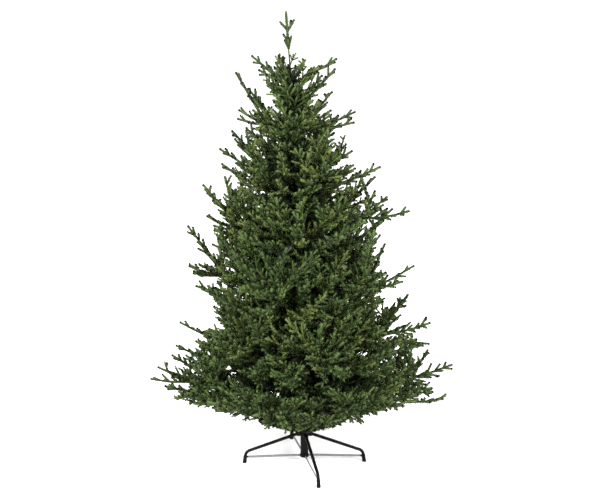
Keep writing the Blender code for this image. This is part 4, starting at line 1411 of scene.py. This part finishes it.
def wound_bough(start, end, radii):
    """A bough's wire wound in film, with the film's ridges, as corners and triangles."""
    rings, sides, ridges = 26, 15, 3
    along = unit(np.array([end - start]))
    side, over = across_of(along)
    part = np.linspace(0.0, 1.0, rings)
    angle = 2 * np.pi * np.arange(sides) / sides
    radius = np.interp(part, (0.0, 1.0), radii)[:, None] * (
        1.0 + 0.10 * np.cos(ridges * angle[None] - 2 * np.pi * 9 * part[:, None]))
    middle = np.array(start)[None] + np.array(end - start)[None] * part[:, None]
    ring = side * np.cos(angle)[:, None] + over * np.sin(angle)[:, None]
    corners = (middle[:, None] + ring[None] * radius[:, :, None]).reshape(-1, 3)
    faces = []
    for row in range(rings - 1):
        for corner in range(sides):
            a, b = row * sides + corner, row * sides + (corner + 1) % sides
            faces += [(a, a + sides, b + sides), (a, b + sides, b)]
    last = (rings - 1) * sides
    for corner in range(1, sides - 1):
        faces += [(0, corner, corner + 1), (last, last + corner + 1, last + corner)]
    return corners, np.array(faces)


def placed(name, data, place, turn):
    """A light or camera, set in the scene."""
    thing = bpy.data.objects.new(name, data)
    thing.location = place
    thing.rotation_euler = turn
    bpy.context.scene.collection.objects.link(thing)
    return thing


# ---------------------------------------------------------------- operators

class TreeOperator:
    """Shared by the operators below."""
    bl_options = {"REGISTER", "UNDO"}


class CHRISTMAS_TREE_OT_make_socket(TreeOperator, bpy.types.Operator):
    """Make the socket tube, the hinge collar round it and the ring that the braces hook to"""
    bl_idname = "christmas_tree.make_socket"
    bl_label = "Socket and Collars"

    def execute(self, context):
        stand = context.scene.tree_stand
        paint = black_paint()
        socket = tube_blank("socket_tube", stand.socket_radius, stand.socket_wall, stand.socket_bottom,
                            stand.socket_top, 56)
        finish_piece(socket, [paint], "black_steel", "stand_socket")
        inner = stand.socket_radius + GAP
        collar = tube_blank("hinge_collar", inner + HUB_WALL, HUB_WALL, HUB_HEIGHT - HUB_DEPTH / 2,
                            HUB_HEIGHT + HUB_DEPTH / 2)
        finish_piece(collar, [paint], "black_steel", "stand_hub")
        for ears in set_round(ears_blank(), "hinge_ears"):
            finish_piece(ears, [paint], "black_steel", "stand_hub")
        ring = tube_blank("hook_ring", inner + RING_WALL, RING_WALL, BRACE_INNER_HEIGHT - RING_HALF_DEPTH,
                          BRACE_INNER_HEIGHT + RING_HALF_DEPTH)
        finish_piece(ring, [paint], "black_steel", "stand_ring")
        return {"FINISHED"}


class CHRISTMAS_TREE_OT_make_legs(TreeOperator, bpy.types.Operator):
    """Make the four bent legs and their rubber caps"""
    bl_idname = "christmas_tree.make_legs"
    bl_label = "Legs and Caps"

    def execute(self, context):
        paint, rubber = black_paint(), cap_rubber()
        legs = set_round(leg_blank(), "leg_tube")
        caps = set_round(cap_blank(), "foot_cap")
        for side, leg, cap in zip(LEG_AZIMUTHS, legs, caps):
            finish_piece(leg, [paint], "black_steel", f"stand_leg_{side}")
            finish_piece(cap, [rubber], "black_rubber", f"stand_cap_{side}")
        return {"FINISHED"}


class CHRISTMAS_TREE_OT_make_braces(TreeOperator, bpy.types.Operator):
    """Make the four flat braces with their bands and pins"""
    bl_idname = "christmas_tree.make_braces"
    bl_label = "Braces"

    def execute(self, context):
        plating, paint = grey_plating(), black_paint()
        braces = set_round(brace_blank(), "brace_strip")
        bands = set_round(band_blank(), "brace_band")
        for side, brace, band in zip(LEG_AZIMUTHS, braces, bands):
            finish_piece(brace, [plating], "grey_steel", f"stand_brace_{side}")
            finish_piece(band, [paint], "black_steel", f"stand_brace_{side}")
        return {"FINISHED"}


class CHRISTMAS_TREE_OT_make_eye_screw(TreeOperator, bpy.types.Operator):
    """Make the eye screw that clamps the pole, and its welded nut"""
    bl_idname = "christmas_tree.make_eye_screw"
    bl_label = "Eye Screw"

    def execute(self, context):
        stand = context.scene.tree_stand
        turn = math.radians(SCREW_AZIMUTH)
        outward = (0.0, math.pi / 2, turn)

        def outside(distance):
            return polar_point(SCREW_AZIMUTH, stand.socket_radius + distance, SCREW_HEIGHT)

        shaft = rivet("shaft", HINGE_RADIUS, SCREW_LENGTH + 0.002, outside(SCREW_LENGTH / 2), outward, 0.2)
        deselect()
        bpy.ops.mesh.primitive_torus_add(
            location=outside(SCREW_LENGTH + SCREW_EYE_RADIUS - 0.001), rotation=(math.pi / 2, 0.0, turn),
            major_segments=36, minor_segments=12, major_radius=SCREW_EYE_RADIUS,
            minor_radius=SCREW_WIRE_RADIUS)
        eye = fresh("eye")
        apply_place(eye)
        deselect()
        bpy.ops.mesh.primitive_cylinder_add(vertices=6, radius=NUT_RADIUS, depth=NUT_DEPTH,
                                            location=outside(NUT_PLACE), rotation=outward)
        nut = fresh("nut")
        apply_place(nut)
        bevel_creases(nut, 0.0004)
        screw = joined("clamp_screw", [shaft, eye, nut])
        finish_piece(screw, [grey_plating()], "grey_steel", "stand_eye_screw")
        return {"FINISHED"}


class CHRISTMAS_TREE_OT_make_pole(TreeOperator, bpy.types.Operator):
    """Make the pole in its sections, and the collars that the boughs are held in"""
    bl_idname = "christmas_tree.make_pole"
    bl_label = "Pole and Bough Collars"

    def execute(self, context):
        paint = pole_paint()
        finish_piece(pole_blank(), [paint], "pole", "pole")
        for tier in range(len(TIERS)):
            finish_piece(collar_blank(tier), [paint], "pole")
        return {"FINISHED"}


class CHRISTMAS_TREE_OT_make_boughs(TreeOperator, bpy.types.Operator):
    """Make the wound boughs of the two lowest tiers"""
    bl_idname = "christmas_tree.make_boughs"
    bl_label = "Boughs"

    def execute(self, context):
        film = wire_film()
        for tier, (masses, _, _, bough_length, _, _) in enumerate(TIERS):
            if not bough_length:
                continue
            for number in range(masses):
                root, start, _ = mass_limbs(tier, number)
                name = f"{TIER_NAMES[tier]}_tier"
                arrays = wound_bough(root, start, BOUGH_RADII)
                arrays_piece(f"{name}_wound_bough_{number + 1}", arrays, [film], "bough",
                             f"{name}_bough_{number + 1}", smooth=60.0)
        return {"FINISHED"}


class CHRISTMAS_TREE_OT_grow_crown(TreeOperator, bpy.types.Operator):
    """Grow the twigs, needles and buds of every tier"""
    bl_idname = "christmas_tree.grow_crown"
    bl_label = "Crown"

    def execute(self, context):
        greens, film, brown = needle_greens(), wire_film(), bud_brown()
        for tier in range(len(TIERS)):
            dress_tier(tier, grow_tier(tier), greens, film, brown)
        return {"FINISHED"}


class CHRISTMAS_TREE_OT_grow_leader(TreeOperator, bpy.types.Operator):
    """Grow the leader: a bare wire with a whorl of sprigs, a fork of two and the tip"""
    bl_idname = "christmas_tree.grow_leader"
    bl_label = "Leader"

    def execute(self, context):
        crown = context.scene.tree_crown
        rng = random.Random(7)
        start = axis_point(POLE_TOP + GAP)
        along = (LEADER_TIP - start).normalized()

        def spot(height):
            return start + along * (height - start.z) / along.z

        needles = Needles(crown, False, 1.05, True)
        growth = Growth()
        whorl, end = spot(LEADER_WHORL_HEIGHT), spot(LEADER_TIP.z - 0.01)
        growth.wires.append((start, whorl, *LEADER_RADII, WIRE_SIDES))
        growth.wires.append((whorl, end, LEADER_RADII[1], 0.0016, WIRE_SIDES))
        sprays = [(whorl, LEADER_TIP + along * 0.004)]
        for azimuth, height, length, outward in LEADER_FORKS + LEADER_SPRIGS:
            way = polar_point(azimuth, outward, 1.0).normalized()
            sprays.append((spot(height), spot(height) + way * length))
        club = spot(LEADER_FORKS[1][1]).lerp(sprays[2][1], 0.45)
        sprays.append((club, club + Vector((0.002, 0.004, 0.028))))
        for low, high in sprays:
            grow_finger(growth, low, high, 1, needles, crown, rng)
        for kind, arrays, materials, slot in (
                ("wires", wire_arrays(growth.wires), [wire_film()], "bough"),
                ("buds", bud_arrays(growth.buds), [bud_brown()], "bough"),
                ("needles", spray_arrays(growth, 9900), needle_greens(), "foliage")):
            arrays_piece(f"leader_{kind}", arrays, materials, slot, "leader_foliage")
        return {"FINISHED"}


class CHRISTMAS_TREE_OT_set_stage(TreeOperator, bpy.types.Operator):
    """Lay the pale floor, hang the soft lights and set the camera"""
    bl_idname = "christmas_tree.set_stage"
    bl_label = "Stage"

    def execute(self, context):
        stage = context.scene.tree_stage
        scene = context.scene
        deselect()
        bpy.ops.mesh.primitive_plane_add(size=FLOOR_SIZE)
        floor = fresh("floor")
        pick_edges(floor, lambda a, b: min(a.y, b.y) > FLOOR_SIZE / 2 - 1.0)
        extrude((0.0, 0.0, WALL_HEIGHT))
        close_edit()
        material, tree, shader = new_material("pale floor", stage.floor_colour, 0.9, specular=0.0)
        blend_colours(tree, shader, noise_on_object(tree, 3.0), stage.floor_colour, 0.99, 1.0)
        floor.data.materials.append(material)
        world = bpy.data.worlds.new("studio")
        scene.world = world
        world.use_nodes = True
        sky = world.node_tree.nodes["Background"]
        sky.inputs["Color"].default_value = (1.0, 1.0, 1.0, 1.0)
        sky.inputs["Strength"].default_value = stage.sky_strength
        for name, place, power in (("key light", KEY_PLACE, stage.key_power),
                                   ("fill light", FILL_PLACE, stage.fill_power)):
            data = bpy.data.lights.new(name, "AREA")
            data.shape = "SQUARE"
            data.size = LIGHT_SIZE
            data.energy = power
            placed(name, data, place, (LIT_SPOT - Vector(place)).to_track_quat("-Z", "Y").to_euler())
        data = bpy.data.cameras.new("camera")
        data.sensor_width = 36.0
        data.lens = stage.camera_lens
        scene.camera = placed("camera", data, (CAMERA_ASIDE, -stage.camera_distance, stage.camera_height),
                              (math.pi / 2 - stage.camera_tilt, 0.0, 0.0))
        scene.view_settings.view_transform = "Standard"
        return {"FINISHED"}


class VIEW3D_PT_christmas_tree(bpy.types.Panel):
    """Makes the tree's pieces"""
    bl_label = "Christmas Tree"
    bl_space_type = "VIEW_3D"
    bl_region_type = "UI"
    bl_category = "Tree"

    def draw(self, context):
        layout = self.layout
        for operator in OPERATORS:
            layout.operator(operator.bl_idname)
        for settings in (context.scene.tree_stand, context.scene.tree_crown, context.scene.tree_stage):
            column = layout.column(align=True)
            for name in settings.bl_rna.properties.keys():
                if name not in ("rna_type", "name"):
                    column.prop(settings, name)


OPERATORS = (
    CHRISTMAS_TREE_OT_make_socket,
    CHRISTMAS_TREE_OT_make_legs,
    CHRISTMAS_TREE_OT_make_braces,
    CHRISTMAS_TREE_OT_make_eye_screw,
    CHRISTMAS_TREE_OT_make_pole,
    CHRISTMAS_TREE_OT_make_boughs,
    CHRISTMAS_TREE_OT_grow_crown,
    CHRISTMAS_TREE_OT_grow_leader,
    CHRISTMAS_TREE_OT_set_stage,
)
CLASSES = (StandSettings, CrownSettings, StageSettings) + OPERATORS + (VIEW3D_PT_christmas_tree,)


def register():
    for cls in CLASSES:
        bpy.utils.register_class(cls)
    bpy.types.Scene.tree_stand = PointerProperty(type=StandSettings)
    bpy.types.Scene.tree_crown = PointerProperty(type=CrownSettings)
    bpy.types.Scene.tree_stage = PointerProperty(type=StageSettings)


def unregister():
    del bpy.types.Scene.tree_stage
    del bpy.types.Scene.tree_crown
    del bpy.types.Scene.tree_stand
    for cls in reversed(CLASSES):
        bpy.utils.unregister_class(cls)


def main():
    register()
    for operator in OPERATORS:
        group, name = operator.bl_idname.split(".")
        getattr(getattr(bpy.ops, group), name)()


if __name__ == "__main__":
    main()
